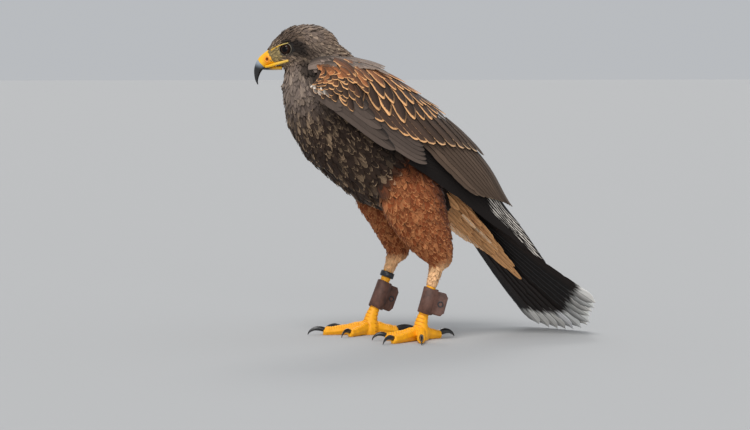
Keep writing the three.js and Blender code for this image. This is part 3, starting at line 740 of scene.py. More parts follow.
@dataclass(frozen=True)
class Tree:
    """A short way to add and join shader nodes."""

    nodes: NodeTree

    def add(self, kind: str, inputs: dict[int | str, object] | None = None, **values: object) -> Node:
        """A new node with its properties set and its inputs fed."""
        node = self.nodes.nodes.new(kind)
        for name, value in values.items():
            setattr(node, name, value)
        for name, value in (inputs or {}).items():
            self.feed(node, name, value)
        return node

    def value(self, kind: str, inputs: dict[int | str, object], **values: object) -> Value:
        """A new node's first output, to reckon with."""
        return Value(self, self.add(kind, inputs, **values).outputs[0])

    def feed(self, node: Node, name: int | str, value: object) -> None:
        """Gives an input a number or another node's output."""
        source = value.socket if isinstance(value, Value) else value
        if isinstance(source, NodeSocket):
            self.nodes.links.new(source, node.inputs[name])
        else:
            node.inputs[name].default_value = source

    def math(self, operation: str, *values: Value | float, clamp: bool = False) -> Value:
        """A Math node's output."""
        return self.value("ShaderNodeMath", dict(enumerate(values)), operation=operation, use_clamp=clamp)

    def mix(self, share: Value, *colours: NodeSocket | Triple) -> NodeSocket:
        """A Mix node's output, between two colours."""
        first, second = (c if isinstance(c, NodeSocket) else (*c, 1.0) for c in colours)
        return self.add("ShaderNodeMix", {0: share, 6: first, 7: second}, data_type="RGBA").outputs[2]

    def noise(self, place: NodeSocket, scale: float, detail: float) -> Value:
        """A noise texture's value."""
        inputs = {0: place, "Scale": scale, "Detail": detail, "Roughness": 0.55}
        return self.value("ShaderNodeTexNoise", inputs)

    def colour(self, name: str) -> NodeSocket:
        """A colour that the mesh carries."""
        return self.add("ShaderNodeAttribute", attribute_name=name).outputs["Color"]

    def scaled(self, colour: NodeSocket, share: Value) -> NodeSocket:
        """A colour made darker or lighter by a share."""
        return self.add("ShaderNodeVectorMath", {0: colour, "Scale": share}, operation="SCALE").outputs[0]

    def outputs(self, node: Node, *labels: int | str) -> list[Value]:
        """Some of a node's outputs, to reckon with."""
        return [Value(self, node.outputs[label]) for label in labels]

    def split(self, source: NodeSocket, kind: str) -> list[Value]:
        """The three numbers of a vector or a colour."""
        return self.outputs(self.add(f"ShaderNodeSeparate{kind}", {0: source}), 0, 1, 2)


class ShaderGroups:
    """Effects that several finishes share, each built once."""

    def __init__(self) -> None:
        self.barbs = self._barbs()
        self.grain = self._grain()

    @staticmethod
    def _new(name: str, inputs: dict[str, float], outputs: tuple[str, ...]) -> tuple[Tree, Node, Node]:
        """A group with number inputs and outputs, and the nodes that stand for them."""
        group = bpy.data.node_groups.new(name, "ShaderNodeTree")
        for label, value in inputs.items():
            socket = group.interface.new_socket(label, in_out="INPUT", socket_type="NodeSocketFloat")
            socket.default_value = value
        for label in outputs:
            group.interface.new_socket(label, in_out="OUTPUT", socket_type="NodeSocketFloat")
        tree = Tree(group)
        return tree, tree.add("NodeGroupInput"), tree.add("NodeGroupOutput")

    def _barbs(self) -> NodeTree:
        """The fine slanting lines of a vane and the ridge of its shaft."""
        inputs = {"Across": 0.5, "Along": 0.5, "Lines": 90, "Seed": 0}
        tree, given, out = self._new("vane_barbs", inputs, ("Line", "Shaft", "Split"))
        across, along, lines, seed = tree.outputs(given, *inputs)
        away = abs(across - 0.5)
        slant = along - away * 0.35
        place = tree.add("ShaderNodeCombineXYZ", {0: slant * lines, 1: away * 2.0, 2: seed * 37.0}).outputs[0]
        stretch = {0: place, 1: (0.18, 1.5, 1)}
        coarse = tree.add("ShaderNodeVectorMath", stretch, operation="MULTIPLY").outputs[0]
        tree.feed(out, "Line", tree.noise(place, 1.0, 2))
        tree.feed(out, "Shaft", away.step(0.045, 0.015))
        tree.feed(out, "Split", tree.noise(coarse, 1.0, 2))
        return tree.nodes

    def _grain(self) -> NodeTree:
        """A fine and a broad mottle on Object coordinates."""
        scales = {"Fine": 900, "Broad": 120}
        tree, given, out = self._new("skin_grain", scales, tuple(scales))
        place = tree.add("ShaderNodeTexCoord").outputs["Object"]
        for label in scales:
            inputs = {"Detail": 4, "Vector": place, "Scale": given.outputs[label]}
            tree.feed(out, label, tree.add("ShaderNodeTexNoise", inputs).outputs[0])
        return tree.nodes


def start_material(name: str, inputs: dict[str, float]) -> tuple[Material, Tree, Node]:
    """A new material, its nodes and its shader with some inputs set."""
    material = bpy.data.materials.new(name)
    material.use_nodes = True
    tree = Tree(material.node_tree)
    shader = material.node_tree.nodes["Principled BSDF"]
    for label, value in inputs.items():
        tree.feed(shader, label, value)
    return material, tree, shader


def bump(tree: Tree, shader: Node, height: Value, strength: float, depth: float) -> None:
    """Feeds a height through a Bump node to a shader's normal."""
    inputs = {"Strength": strength, "Distance": depth, "Height": height}
    tree.feed(shader, "Normal", tree.add("ShaderNodeBump", inputs).outputs[0])


@dataclass(frozen=True)
class PlumageFinish:
    """Feathers: a base colour, and an edge colour where each feather's marks put it."""

    name: str
    lines: float
    bars: float
    relief: float
    crisp: float = 4.0
    tucked_shade: float = 0.0
    roughness: float = 0.7
    sheen: float = 0.06
    specular: float = 0.14
    shaft_tone: Triple = (0.02, 0.014, 0.01)

    def build(self, groups: ShaderGroups) -> Material:
        """The finish as a material."""
        material, tree, shader = start_material(self.name, {
            "Roughness": self.roughness,
            "Sheen Weight": self.sheen,
            "Sheen Roughness": 0.5,
            "Specular IOR Level": self.specular,
        })
        across, along, _ = tree.split(tree.add("ShaderNodeUVMap", uv_map="Vane").outputs[0], "XYZ")
        mark, more = (tree.split(tree.colour(name), "Color") for name in ("mark", "more"))
        inputs = {"Across": across, "Along": along, "Seed": more[1], "Lines": self.lines}
        barbs = tree.add("ShaderNodeGroup", node_tree=groups.barbs)
        for label, value in inputs.items():
            tree.feed(barbs, label, value)
        line, shaft, split = tree.outputs(barbs, "Line", "Shaft", "Split")
        share = self._share(across, along, (split - 0.5) * 0.5, mark, more)
        dark = line.times_plus(0.7, 0.62)
        if self.tucked_shade:
            dark = dark * across.step(0.3, 0.95).times_plus(-self.tucked_shade, 1.0)
        shaded = tree.scaled(tree.mix(share, tree.colour("base"), tree.colour("edge")), dark)
        tree.feed(shader, "Base Color", tree.mix(shaft * 0.45, shaded, self.shaft_tone))
        bump(tree, shader, line + shaft * 0.8, self.relief, 0.0004)
        return material

    def _share(
        self, across: Value, along: Value, wobble: Value, mark: list[Value], more: list[Value]
    ) -> Value:
        """How much of the edge's colour shows, on the rim, streak, bars, tip and inner vane."""
        rim, streak, bars = mark
        tip, _, inner = more
        away = abs(across - 0.5) * 2
        far = ((along - 0.55) * (1 / 0.45)).at_least(0)
        fringe = self._past(away**2.0 + far**3.0 + wobble, rim, self.crisp)
        streaks = (away + wobble).step(0.35, 0.1) * streak
        wave = across.tree.math("SINE", (along - wobble) * (self.bars * 6.283))
        bands = wave.step(0.1, 0.8) * bars
        tips = self._past(along + wobble * 0.25, tip, 22.0)
        off = abs(across + wobble.times_plus(0.5, -0.16))
        inner_vane = self._past(along.step(0.4, 0.6) - off * 7.0, inner, 9.0)
        return fringe.at_least(bands).at_least(streaks.at_least(tips)).at_least(inner_vane)

    @staticmethod
    def _past(value: Value, mark: Value, crisp: float) -> Value:
        """A clipped rise where a value is over 1 less the mark, and 0 where there is no mark."""
        rise = value.tree.math("MULTIPLY", value - (1 - mark), crisp, clamp=True)
        return rise * (mark > 0.01)


@dataclass(frozen=True)
class SkinFinish:
    """Bare or downy skin: colours painted on its points, with a fine grain."""

    name: str
    roughness: float = 0.6
    fine: float = 900
    broad: float = 120
    relief: float = 0.3
    coat: float = 0.0
    contrast: float = 0.5
    specular: float = 0.5

    def build(self, groups: ShaderGroups) -> Material:
        """The finish as a material."""
        material, tree, shader = start_material(self.name, {
            "Roughness": self.roughness,
            "Coat Weight": self.coat,
            "Coat Roughness": 0.25,
            "Specular IOR Level": self.specular,
        })
        grain = tree.add("ShaderNodeGroup", node_tree=groups.grain)
        tree.feed(grain, "Fine", self.fine)
        tree.feed(grain, "Broad", self.broad)
        fine, broad = tree.outputs(grain, "Fine", "Broad")
        dark = (fine * 0.5 + broad).times_plus(self.contrast, 1 - self.contrast * 0.75)
        tree.feed(shader, "Base Color", tree.scaled(tree.colour("tone"), dark))
        bump(tree, shader, fine, self.relief, 0.0004)
        return material


# Where feathers grow, and how


@dataclass(frozen=True)
class CoatSpot:
    """The coat at one place: each feather's length and half-width, how far apart they grow, and its depth."""

    length: float
    half: float
    spacing: float
    depth: float

    def row(self) -> tuple[float, float, float, float]:
        """The four values in order."""
        return self.length, self.half, self.spacing, self.depth


@dataclass
class Limb:
    """A run of the body that feathers lie along."""

    name: str
    spine: list[Triple]
    girth: list[float]
    coat: list[CoatSpot]

    def __post_init__(self) -> None:
        """Reads the spine, its thickness and its coat at even steps."""
        where = np.linspace(0, 1, 60)
        curve = Spline(self.spine)
        self.points = curve.at(where)
        self.along = curve.tangent(where)
        self.radius = np.interp(where, np.linspace(0, 1, len(self.girth)), self.girth)
        rows = np.array([spot.row() for spot in self.coat])
        stops = np.linspace(0, 1, len(rows))
        self.values = np.stack([np.interp(where, stops, rows[:, k]) for k in range(4)], axis=1)
        self.where = where


def head_spine() -> list[Triple]:
    """The head's spine from its back to the bill, in the bird's frame."""
    local = [(-27, 0, 1), (-8, 0, 0), (12, 0, -1), (30, 0, -5), (42, 0, -9)]
    return [tuple(point) for point in HEAD.place(np.array(local))]


NAPE = CoatSpot(10, 1.7, 2.3, 2.4)
CROWN = CoatSpot(7.5, 1.25, 1.75, 1.7)
FACE = CoatSpot(4.6, 0.95, 1.45, 1.0)
LORE = CoatSpot(2.8, 0.45, 1.4, 0.6)
NECK = CoatSpot(13, 2.1, 2.5, 2.6)
BREAST = CoatSpot(16, 2.9, 3.3, 3.5)
BACK = CoatSpot(24, 5.6, 5.2, 4.4)
RUMP = CoatSpot(20, 4.6, 4.8, 4)
THIGH_TOP = CoatSpot(12, 2.3, 2.8, 2.5)
THIGH = CoatSpot(9.5, 1.9, 2.2, 1.9)
HOCK = CoatSpot(7, 1.7, 2.0, 1.6)
SHANK = CoatSpot(5, 1.2, 1.6, 0.8)
LEG_COAT = [THIGH_TOP, THIGH_TOP, THIGH, THIGH, HOCK, SHANK]
TRUNK_SPINE = [
    (-98, 0, 300), (-88, 0, 272), (-69, 0, 238), (-37, 0, 206),
    (-3, 0, 180), (25, 0, 166), (44, 0, 153), (58, 0, 140),
]
TRUNK_COAT = [NAPE, NECK, NECK, BREAST, BACK, BACK, RUMP, RUMP]
LEFT_SPINE = [(-8, -33, 184), (-4, -38, 158), (8, -40, 128), (23, -40, 101), (30, -39, 82), (22, -38.6, 58)]
RIGHT_SPINE = [(-14, 31, 182), (-12, 35, 158), (-1, 37, 130), (8, 38, 104), (9, 38, 86), (-1, 38.3, 66)]


class BodyPlan:
    """The limbs of the body, and what each point of the skin takes from them."""

    def __init__(self) -> None:
        self.limbs = [
            Limb("head", head_spine(), [16, 24, 23, 16, 9], [NAPE, CROWN, CROWN, FACE, LORE]),
            Limb("trunk", TRUNK_SPINE, [26, 40, 52, 54, 50, 38, 24, 14], TRUNK_COAT),
            Limb("thigh_left", LEFT_SPINE, [22, 30, 26, 18, 10, 6], LEG_COAT),
            Limb("thigh_right", RIGHT_SPINE, [22, 29, 24, 17, 10, 6], LEG_COAT),
        ]

    def read(self, points: Array) -> dict[str, Array]:
        """Each limb's weight at points near the skin, the place along it, and the coat's lie and values."""
        scores, wheres, ways, values = [], [], [], []
        for limb in self.limbs:
            gap = np.linalg.norm(points[:, None] - limb.points[None], axis=2) / limb.radius[None]
            best = gap.argmin(axis=1)
            scores.append(gap[np.arange(len(points)), best])
            wheres.append(limb.where[best])
            ways.append(self._radiate(points) if limb.name == "head" else limb.along[best])
            values.append(limb.values[best])
        weight = np.exp(-9 * np.array(scores).T)
        weight /= weight.sum(axis=1, keepdims=True)
        lie = unit((np.stack(ways, axis=1) * weight[..., None]).sum(axis=1))
        coat = (np.stack(values, axis=1) * weight[..., None]).sum(axis=1)
        return {"weight": weight, "where": np.array(wheres).T, "lie": lie, "coat": coat}

    @staticmethod
    def _radiate(points: Array) -> Array:
        """The head's feathers run back and outwards from the bill."""
        local = HEAD.local(points)
        way = unit(local - np.array((47, 0, -10))) + np.array((-0.9, 0, 0))
        turn = np.array(HEAD.matrix())[:3, :3]
        return unit(way) @ turn.T

    def unwrap(self, points: Array) -> Array:
        """Each point's place on an unwrap of the skin: around and along its nearest limb."""
        read = self.read(points)
        limb = read["weight"].argmax(axis=1)
        where = read["where"][np.arange(len(points)), limb]
        placed = np.zeros((len(points), 2))
        for k, run in enumerate(self.limbs):
            chosen = limb == k
            step = np.minimum((where[chosen] * 59).astype(int), 59)
            out = points[chosen] - run.points[step]
            up = unit(np.cross(run.along[step], (0, 1, 0)))
            angle = np.arctan2(out[:, 1], (out * up).sum(axis=1)) / (2 * math.pi) + 0.5
            placed[chosen, 0] = 0.005 + 0.235 * angle + 0.25 * k
            placed[chosen, 1] = 0.005 + 0.98 * where[chosen]
        return placed


@dataclass
class Skin:
    """One closed skin in place of the flesh nodes, inside them by the coat's depth."""

    frame: BodyFrame
    plan: BodyPlan

    NODES = ("head", "neck", "torso", "thigh_left", "thigh_right")
    VOXEL = 0.0021
    SOCKS = {"left": 0.45, "right": 0.34}

    def build(self, nodes: dict[str, Object], material: Material) -> Object:
        """Joins, seals, smooths and shrinks the flesh, and makes the skin's object."""
        shape = joined(nodes, self.NODES, 0.5)
        for leg in LEGS:
            self._sock(shape, leg)
        mesh = sealed(mesh_of(shape, "skin"), self.VOXEL, smooth=8)
        points = self.frame.back(points_of(mesh))
        depth = self.plan.read(points)["coat"][:, 3]
        points -= normals_of(mesh) * (depth * 0.85)[:, None]
        set_points(mesh, self.frame.out(points))
        piece = new_object("skin", mesh, material, "plumage")
        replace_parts(piece, *self.NODES)
        return piece

    def _sock(self, shape: BMesh, leg: Leg) -> None:
        """The feathered top of a shank."""
        end = self.SOCKS[leg.name]
        rings = [
            Ring(tuple(Vector(leg.hock).lerp(Vector(leg.ankle), share)), size, size, size)
            for share, size in ((-0.04, 9.5), (0.08, 8.4), (0.6 * end, 6.8), (end, 5.9))
        ]
        put_loft(shape, rings, self.frame)


def joined(nodes: dict[str, Object], names: Sequence[str], grow: float) -> BMesh:
    """Some of the frame's nodes as one shape, grown by some millimetres so that their gaps close."""
    shape = bmesh.new()
    for name in names:
        shape.from_mesh(nodes[name].data)
    bmesh.ops.remove_doubles(shape, verts=shape.verts, dist=0.02 * MM)
    for vert, normal in [(v, v.normal.copy()) for v in shape.verts]:
        vert.co += normal * (grow * MM)
    return shape


def put_part(shape: BMesh, part: Mesh) -> None:
    """Adds a mesh to a shape and uses it up."""
    shape.from_mesh(part)
    bpy.data.meshes.remove(part)


def put_loft(shape: BMesh, rings: list[Ring], frame: BodyFrame) -> None:
    """Adds a lofted form to a shape that is in metres."""
    part = mesh_of(Loft(rings, sides=24, steps=16).build(), "part")
    set_points(part, frame.out(points_of(part)))
    put_part(shape, part)


def sealed(mesh: Mesh, voxel: float, smooth: int) -> Mesh:
    """A mesh remeshed to one even closed surface and smoothed.

    Args:
        mesh: the joined pieces. It is used up.
        voxel: the remesh's step in metres.
        smooth: how many rounds of smoothing.

    Returns:
        The new mesh.
    """
    holder = bpy.data.objects.new("sealing", mesh)
    bpy.context.scene.collection.objects.link(holder)
    remesh = holder.modifiers.new("even", "REMESH")
    remesh.mode = "VOXEL"
    remesh.voxel_size = voxel
    soften = holder.modifiers.new("soften", "SMOOTH")
    soften.factor = 0.5
    soften.iterations = smooth
    seen = holder.evaluated_get(bpy.context.evaluated_depsgraph_get())
    result = bpy.data.meshes.new_from_object(seen)
    bpy.data.objects.remove(holder)
    result.polygons.foreach_set("use_smooth", np.ones(len(result.polygons), bool))
    result.materials.clear()
    return result


class Plumage(Paint):
    """Linear colours of the coat, by where they show."""

    CROWN = shade(98, 80, 67)
    CROWN_EDGE = shade(218, 186, 154)
    # Dark brown of the face mask, also used for painted shade on the flank under the wing.
    MASK = shade(24, 17, 13)
    CHEEK = shade(106, 87, 73)
    CHEEK_EDGE = shade(222, 196, 164)
    LORE = shade(184, 160, 108)
    NECK = shade(126, 111, 102)
    NECK_EDGE = shade(180, 160, 142)
    BREAST = shade(50, 37, 29)
    BREAST_EDGE = shade(176, 148, 118)
    # Dark brown of the belly, also used for the feather edges in the painted shade under the wing.
    BELLY_AND_SHADE = shade(50, 36, 26)
    BACK = shade(78, 65, 57)
    MANTLE = shade(136, 119, 108)
    BACK_EDGE = shade(160, 140, 124)
    THIGH = shade(124, 62, 30)
    THIGH_DARK = shade(66, 30, 14)
    THIGH_EDGE = shade(198, 132, 84)
    HOCK = shade(232, 184, 136)
    BUFF = shade(214, 160, 108)
    TAN = shade(180, 124, 76)
    DOWN = shade(232, 222, 208)
    RUFOUS = shade(192, 120, 72)
    RUFOUS_EDGE = shade(230, 166, 110)
    SCALE = shade(76, 58, 48)
    SCALE_EDGE = shade(236, 178, 122)
    ALULA = shade(92, 79, 71)
    FLIGHT = shade(86, 70, 58)
    FLIGHT_EDGE = shade(198, 170, 138)
    PRIMARY = shade(24, 19, 17)
    PRIMARY_PALE = shade(212, 204, 194)
    TAIL = shade(30, 21, 17)
    WHITE = shade(255, 252, 246)


@dataclass
class CoatColours:
    """The markings of the skin and its coat, and painted shade on the flanks under the wings, from where each
    point is on the body.
    """

    plan: BodyPlan

    def at(self, points: Array, rng: Generator) -> dict[str, Array]:
        """Rows of base and edge colours and of markings for feathers, from their roots' points."""
        read = self.plan.read(points)
        head, trunk = read["weight"][:, 0], read["weight"][:, 1]
        thigh = read["weight"][:, 2] + read["weight"][:, 3]
        n = len(points)
        base, edge, mark = np.zeros((3, n, 3))
        parts = (self._head(points, rng), self._trunk(points, read, rng), self._thigh(points, read, rng))
        for weight, part in zip((head, trunk, thigh), parts):
            base += part[0] * weight[:, None]
            edge += part[1] * weight[:, None]
            mark += part[2] * weight[:, None]
        light = np.exp(rng.normal(0, 0.14, (n, 1)))
        mottle = rng.random((n, 1)) ** 3 * (0.35 * head + 0.45 * trunk + 0.7 * thigh)[:, None]
        base = blend(base, edge, mottle)
        more = np.stack([np.zeros(n), rng.random(n), np.zeros(n)], axis=1)
        edge = edge * np.exp(rng.normal(0, 0.12, (n, 1)))
        return {"base": base * light, "edge": edge, "mark": mark, "more": more}

    @staticmethod
    def _head(points: Array, rng: Generator) -> tuple[Array, Array, Array]:
        """The head: streaked crown and cheek, a dark mask by the eye and a pale lore."""
        x, y, z = HEAD.local(points).T
        ahead, above = x - EYE_AT[0], z - EYE_AT[2]
        near = np.abs(y) > 6
        mask = near * (1 - ramp(np.hypot((ahead + 6) / 1.7, above - 2.5), 5.5, 10)) * (ahead < 11)
        crown = ramp(z, 2, 12)[:, None]
        front = (ramp(x, 8, 28) * ramp(z, 4, 10))[:, None]
        base = blend(Plumage.CHEEK.rgb, Plumage.CROWN.rgb, crown)
        base = blend(base, Plumage.CROWN.rgb * 0.6, front)
        edge = blend(Plumage.CHEEK_EDGE.rgb, Plumage.CROWN_EDGE.rgb, crown)
        edge = blend(edge, Plumage.CROWN.rgb * 1.3, front * 0.8)
        lore = (ramp(x, 29, 33) * ramp(-z, -3, 0) * near * ramp(-z, -20, -12))[:, None]
        base = blend(base, Plumage.MASK.rgb, mask[:, None])
        edge = blend(edge, Plumage.MASK.rgb * 1.2, mask[:, None])
        base, edge = blend(base, Plumage.LORE.rgb * 0.75, lore), blend(edge, Plumage.LORE.rgb, lore)
        mark = np.zeros((len(points), 3))
        mark[:, 1] = (rng.random(len(points)) < 0.42) * (1 - mask) * rng.uniform(0.4, 1.0, len(points))
        mark[:, 0] = 0.3 * lore[:, 0]
        return base, edge, mark

    @staticmethod
    def _trunk(points: Array, read: dict[str, Array], rng: Generator) -> tuple[Array, Array, Array]:
        """The neck, breast, belly, back and rump, with painted shade on the flank under the wing."""
        where = read["where"][:, 1]
        line = Spline([(-98, 0, 300), (-69, 0, 238), (-3, 0, 180), (58, 0, 140)]).at(where)
        behind, higher = points[:, 0] - line[:, 0], points[:, 2] - line[:, 2]
        above = ramp(higher + 0.5 * behind, -6, 22)[:, None]
        neck = (1 - ramp(where, 0.12, 0.3))[:, None]
        belly = ramp(where, 0.5, 0.75)[:, None]
        vent = ramp(where, 0.8, 0.92)[:, None]
        blotch = (rng.random((len(points), 1)) < 0.5).astype(float)
        front = blend(Plumage.BREAST.rgb, Plumage.BELLY_AND_SHADE.rgb, belly)
        front_edge = blend(Plumage.BREAST_EDGE.rgb, Plumage.BREAST.rgb, np.maximum(blotch, belly * 0.9))
        front = blend(front, Plumage.BUFF.rgb, vent)
        front_edge = blend(front_edge, Plumage.DOWN.rgb, vent)
        base = blend(front, Plumage.BACK.rgb, above)
        edge = blend(front_edge, Plumage.BACK_EDGE.rgb, above)
        base = blend(base, Plumage.NECK.rgb, neck)
        edge = blend(edge, Plumage.NECK_EDGE.rgb, neck)
        mark = np.zeros((len(points), 3))
        mark[:, 0] = blend(0.3 * (1 - blotch[:, 0]), 0.22, np.maximum(above, vent)[:, 0]) * (1 - neck[:, 0])
        mark[:, 0] *= rng.random(len(points))
        mark[:, 1] = 0.8 * rng.random(len(points)) * (rng.random(len(points)) < blend(0.35, 0.25, neck[:, 0]))
        # Painted shade: the flank just under the wing is darkened nearly to black for the wing's shadow
        # there.
        deep = blend(14.0, 44.0, ramp(where, 0.35, 0.6))
        high = 1 - ramp(-higher - 0.5 * behind, 0.45 * deep, deep)
        under_wing_shade = high[:, None] * (1 - above) * (1 - vent)
        base, edge = blend(base, Plumage.MASK.rgb, 0.9 * under_wing_shade), blend(edge, Plumage.BELLY_AND_SHADE.rgb, 0.9 * under_wing_shade)
        return base, edge, mark

    @staticmethod
    def _thigh(points: Array, read: dict[str, Array], rng: Generator) -> tuple[Array, Array, Array]:
        """The thighs: rufous, barred paler, darker high up and behind, buff at the hock."""
        left = read["weight"][:, 2] > read["weight"][:, 3]
        where = np.where(left, read["where"][:, 2], read["where"][:, 3])
        behind = np.where(left, points[:, 0] - 6, points[:, 0] + 2) + 0.5 * (points[:, 2] - 130)
        dark = np.maximum(ramp(behind, 12, 34), 1 - ramp(where, 0.0, 0.22))[:, None]
        hock = ramp(where, 0.66, 0.84)[:, None]
        base = blend(Plumage.THIGH.rgb, Plumage.THIGH_DARK.rgb, dark * 0.9)
        edge = blend(Plumage.THIGH_EDGE.rgb, Plumage.THIGH.rgb, dark * 0.9)
        base, edge = blend(base, Plumage.HOCK.rgb, hock), blend(edge, Plumage.HOCK.rgb * 1.1, hock)
        mark = np.tile((0.6, 0.0, 0.0), (len(points), 1))
        mark[:, 0] *= rng.uniform(0.3, 1.0, len(points))
        return base, edge, mark


@dataclass
class Coat:
    """The body's small feathers, spread over the skin."""

    plan: BodyPlan
    colours: CoatColours
    frame: BodyFrame
    seed: int = 7
    rows: tuple[float, ...] = (0, 0.22, 0.45, 0.66, 0.84, 1.0)
    cols: int = 4
    piece_faces: int = 90000

    SPREAD = 0.12

    def grow(self, skin: Object, material: Material) -> None:
        """Spreads the feathers over the skin and makes their pieces."""
        rng = np.random.default_rng(self.seed)
        points, triangles = self.frame.back(points_of(skin.data)), triangles_of(skin.data)
        tree = tree_of(skin.data, self.frame)
        roots = self._scatter(points, triangles, rng)
        roots = roots[self._room(roots, rng)]
        LOG.info("coat: %d feathers", len(roots))
        read = self.plan.read(roots)
        lengths = read["coat"][:, 0] * np.exp(rng.normal(0, self.SPREAD, len(roots)))
        path, normal = self._trace(tree, roots, read["lie"], lengths, rng)
        looks = self.colours.at(roots, rng)
        each = (len(self.rows) - 1) * (2 * self.cols)
        count = max(1, self.piece_faces // each)
        grids, uv = self._vanes(path, normal, read["coat"], rng)
        for start in range(0, len(roots), count):
            part = slice(start, start + count)
            batch = FeatherMesh()
            batch.add(grids[part], uv, {name: rows[part] for name, rows in looks.items()}, roots[part])
            piece_mesh = batch.build(f"coat_{start // count + 1}", self.frame)
            batch.bake_map(piece_mesh, self.plan.unwrap(np.concatenate(batch.roots)))
            new_object(piece_mesh.name, piece_mesh, material, "plumage")

    def _scatter(self, points: Array, triangles: Array, rng: Generator) -> Array:
        """Candidate roots, spread evenly and then thinned to the spacing of each place."""
        corners = points[triangles]
        first, second = corners[:, 1] - corners[:, 0], corners[:, 2] - corners[:, 0]
        area = np.linalg.norm(np.cross(first, second), axis=1) / 2
        spacing = self.plan.read(corners.mean(axis=1))["coat"][:, 2]
        share = area / spacing**2
        picked = rng.choice(len(triangles), size=int(share.sum() * 4), p=share / share.sum())
        u, v = rng.random((2, len(picked)))
        flip = u + v > 1
        u, v = np.where(flip, 1 - u, u), np.where(flip, 1 - v, v)
        spots = corners[picked, 0] + first[picked] * u[:, None] + second[picked] * v[:, None]
        space = self.plan.read(spots)["coat"][:, 2]
        finder = KDTree(len(spots))
        for index, spot in enumerate(spots):
            finder.insert(spot, index)
        finder.balance()
        free = np.ones(len(spots), bool)
        kept = []
        for index in range(len(spots)):
            if not free[index]:
                continue
            kept.append(index)
            for _, other, _ in finder.find_range(spots[index], space[index]):
                free[other] = False
        return spots[kept]

    def _room(self, roots: Array, rng: Generator) -> Array:
        """Which roots bear a feather: none on the eye, the cere or most of the lore."""
        x, y, z = HEAD.local(roots).T
        off_eye = (np.hypot(x - EYE_AT[0], z - EYE_AT[2]) > 6.6) | (np.abs(y) < 8)
        lore = (x > 31) & (z < 2) & (z > -16) & (np.abs(y) > 4)
        lore &= rng.random(len(roots)) < 0.55
        inside = x**2 + y**2 + z**2 < 60**2
        return ~inside | (off_eye & ~lore & (x < 42))

    def _trace(
        self, tree: BVHTree, roots: Array, lie: Array, lengths: Array, rng: Generator
    ) -> tuple[Array, Array]:
        """Each feather's shaft over the skin, and the way out at each of its rows."""
        n, rows = len(roots), len(self.rows)
        path, out = np.zeros((n, rows, 3)), np.zeros((n, rows, 3))
        steps = np.diff(self.rows)
        sway = rng.normal(0, 0.13, (n, 3))
        for index in range(n):
            place = Vector(roots[index])
            way = Vector(lie[index] + sway[index])
            for row in range(rows):
                spot, normal, _, _ = tree.find_nearest(place)
                path[index, row] = spot
                out[index, row] = normal
                way = (way - normal * way.dot(normal)).normalized()
                if row < rows - 1:
                    place = spot + way * float(lengths[index] * steps[row])
        out = unit(out + np.roll(out, 1, axis=1) * np.array([0] + [1] * (rows - 1))[None, :, None])
        return path, out

    def _vanes(
        self, path: Array, normal: Array, coat: Array, rng: Generator
    ) -> tuple[Array, Array]:
        """The feathers' grids, two faces each, and the map of one."""
        n = len(path)
        along = np.array(self.rows)
        across = np.linspace(-1, 1, self.cols)
        past = np.clip((along - 0.55) / 0.45, 0, 1)
        outline = blend(0.45, 1, np.clip(along / 0.4, 0, 1)) * np.sqrt(np.clip(1 - past**2, 0.03, 1))
        half = coat[:, 1] * np.exp(rng.normal(0, self.SPREAD, n))
        depth = coat[:, 3][:, None]
        rise = depth * (0.02 + 0.95 * along[None] ** 0.7) + rng.normal(0, self.SPREAD, (n, 1)) * depth
        lift = np.abs(rng.normal(0, 0.13, (n, 1))) * depth * along[None] ** 2
        tangent = unit(np.gradient(path, axis=1))
        side = unit(np.cross(normal, tangent))
        middle = path + normal * (rise + lift)[..., None]
        reach = half[:, None, None] * outline[None, :, None] * across[None, None]
        notch = rng.random((n, 1, self.cols)) * 0.16 * (along**3)[None, :, None]
        length = np.linalg.norm(path[:, -1] - path[:, 0], axis=1)
        face = middle[:, :, None] + side[:, :, None] * reach[..., None]
        face -= tangent[:, :, None] * (notch * length[:, None, None])[..., None]
        face -= normal[:, :, None] * (np.abs(reach) * 0.16 * np.abs(across))[..., None]
        under = face - normal[:, :, None] * (0.12 + 0.25 * (1 - across**2))[None, None, :, None]
        grid = np.concatenate([face, under[:, :, ::-1], face[:, :, :1]], axis=2)
        return grid, strip_uv(*np.meshgrid(across, along))


# The wings


@dataclass
class Slab:
    """A closed patch between two faces, each given by a function of across, along and side."""

    cols: int
    rows: int

    def build(self, place: Callable[[Array, Array, Array], Array]) -> BMesh:
        """The patch as a bmesh.

        Args:
            place: gives points for across and along, 0 to 1, and side, 0 under or 1 over.
        """
        shape = bmesh.new()
        bmesh.ops.create_grid(shape, x_segments=self.cols, y_segments=self.rows, size=0.5)
        under = set(shape.verts)
        bmesh.ops.extrude_face_region(shape, geom=shape.faces[:], use_keep_orig=True)
        verts = list(shape.verts)
        across = np.array([v.co.x + 0.5 for v in verts])
        along = np.array([v.co.y + 0.5 for v in verts])
        side = np.array([0.0 if v in under else 1.0 for v in verts])
        for vert, point in zip(verts, place(across, along, side)):
            vert.co = point
        return shape


def rounded(share: Array, width: float) -> Array:
    """A rounded rise from 0 at both ends of a run to 1 inside it."""
    near = np.clip(np.minimum(share, 1 - share) / width, 0, 1)
    return np.sqrt(np.clip(1 - (1 - near) ** 2, 0, 1))


PRIMARIES = 0.35
SECONDARIES = 5.3
COVERTS = 9.9


def crest(a: Array | float, b: Array | float) -> Array:
    """How much of their height the coverts keep: less at the top of the shoulder, under the back."""
    front = 1 - ramp(np.asarray(a, float), 0.08, 0.3)
    return 1 - 0.75 * front * ramp(np.asarray(b, float), 0.5, 0.95)


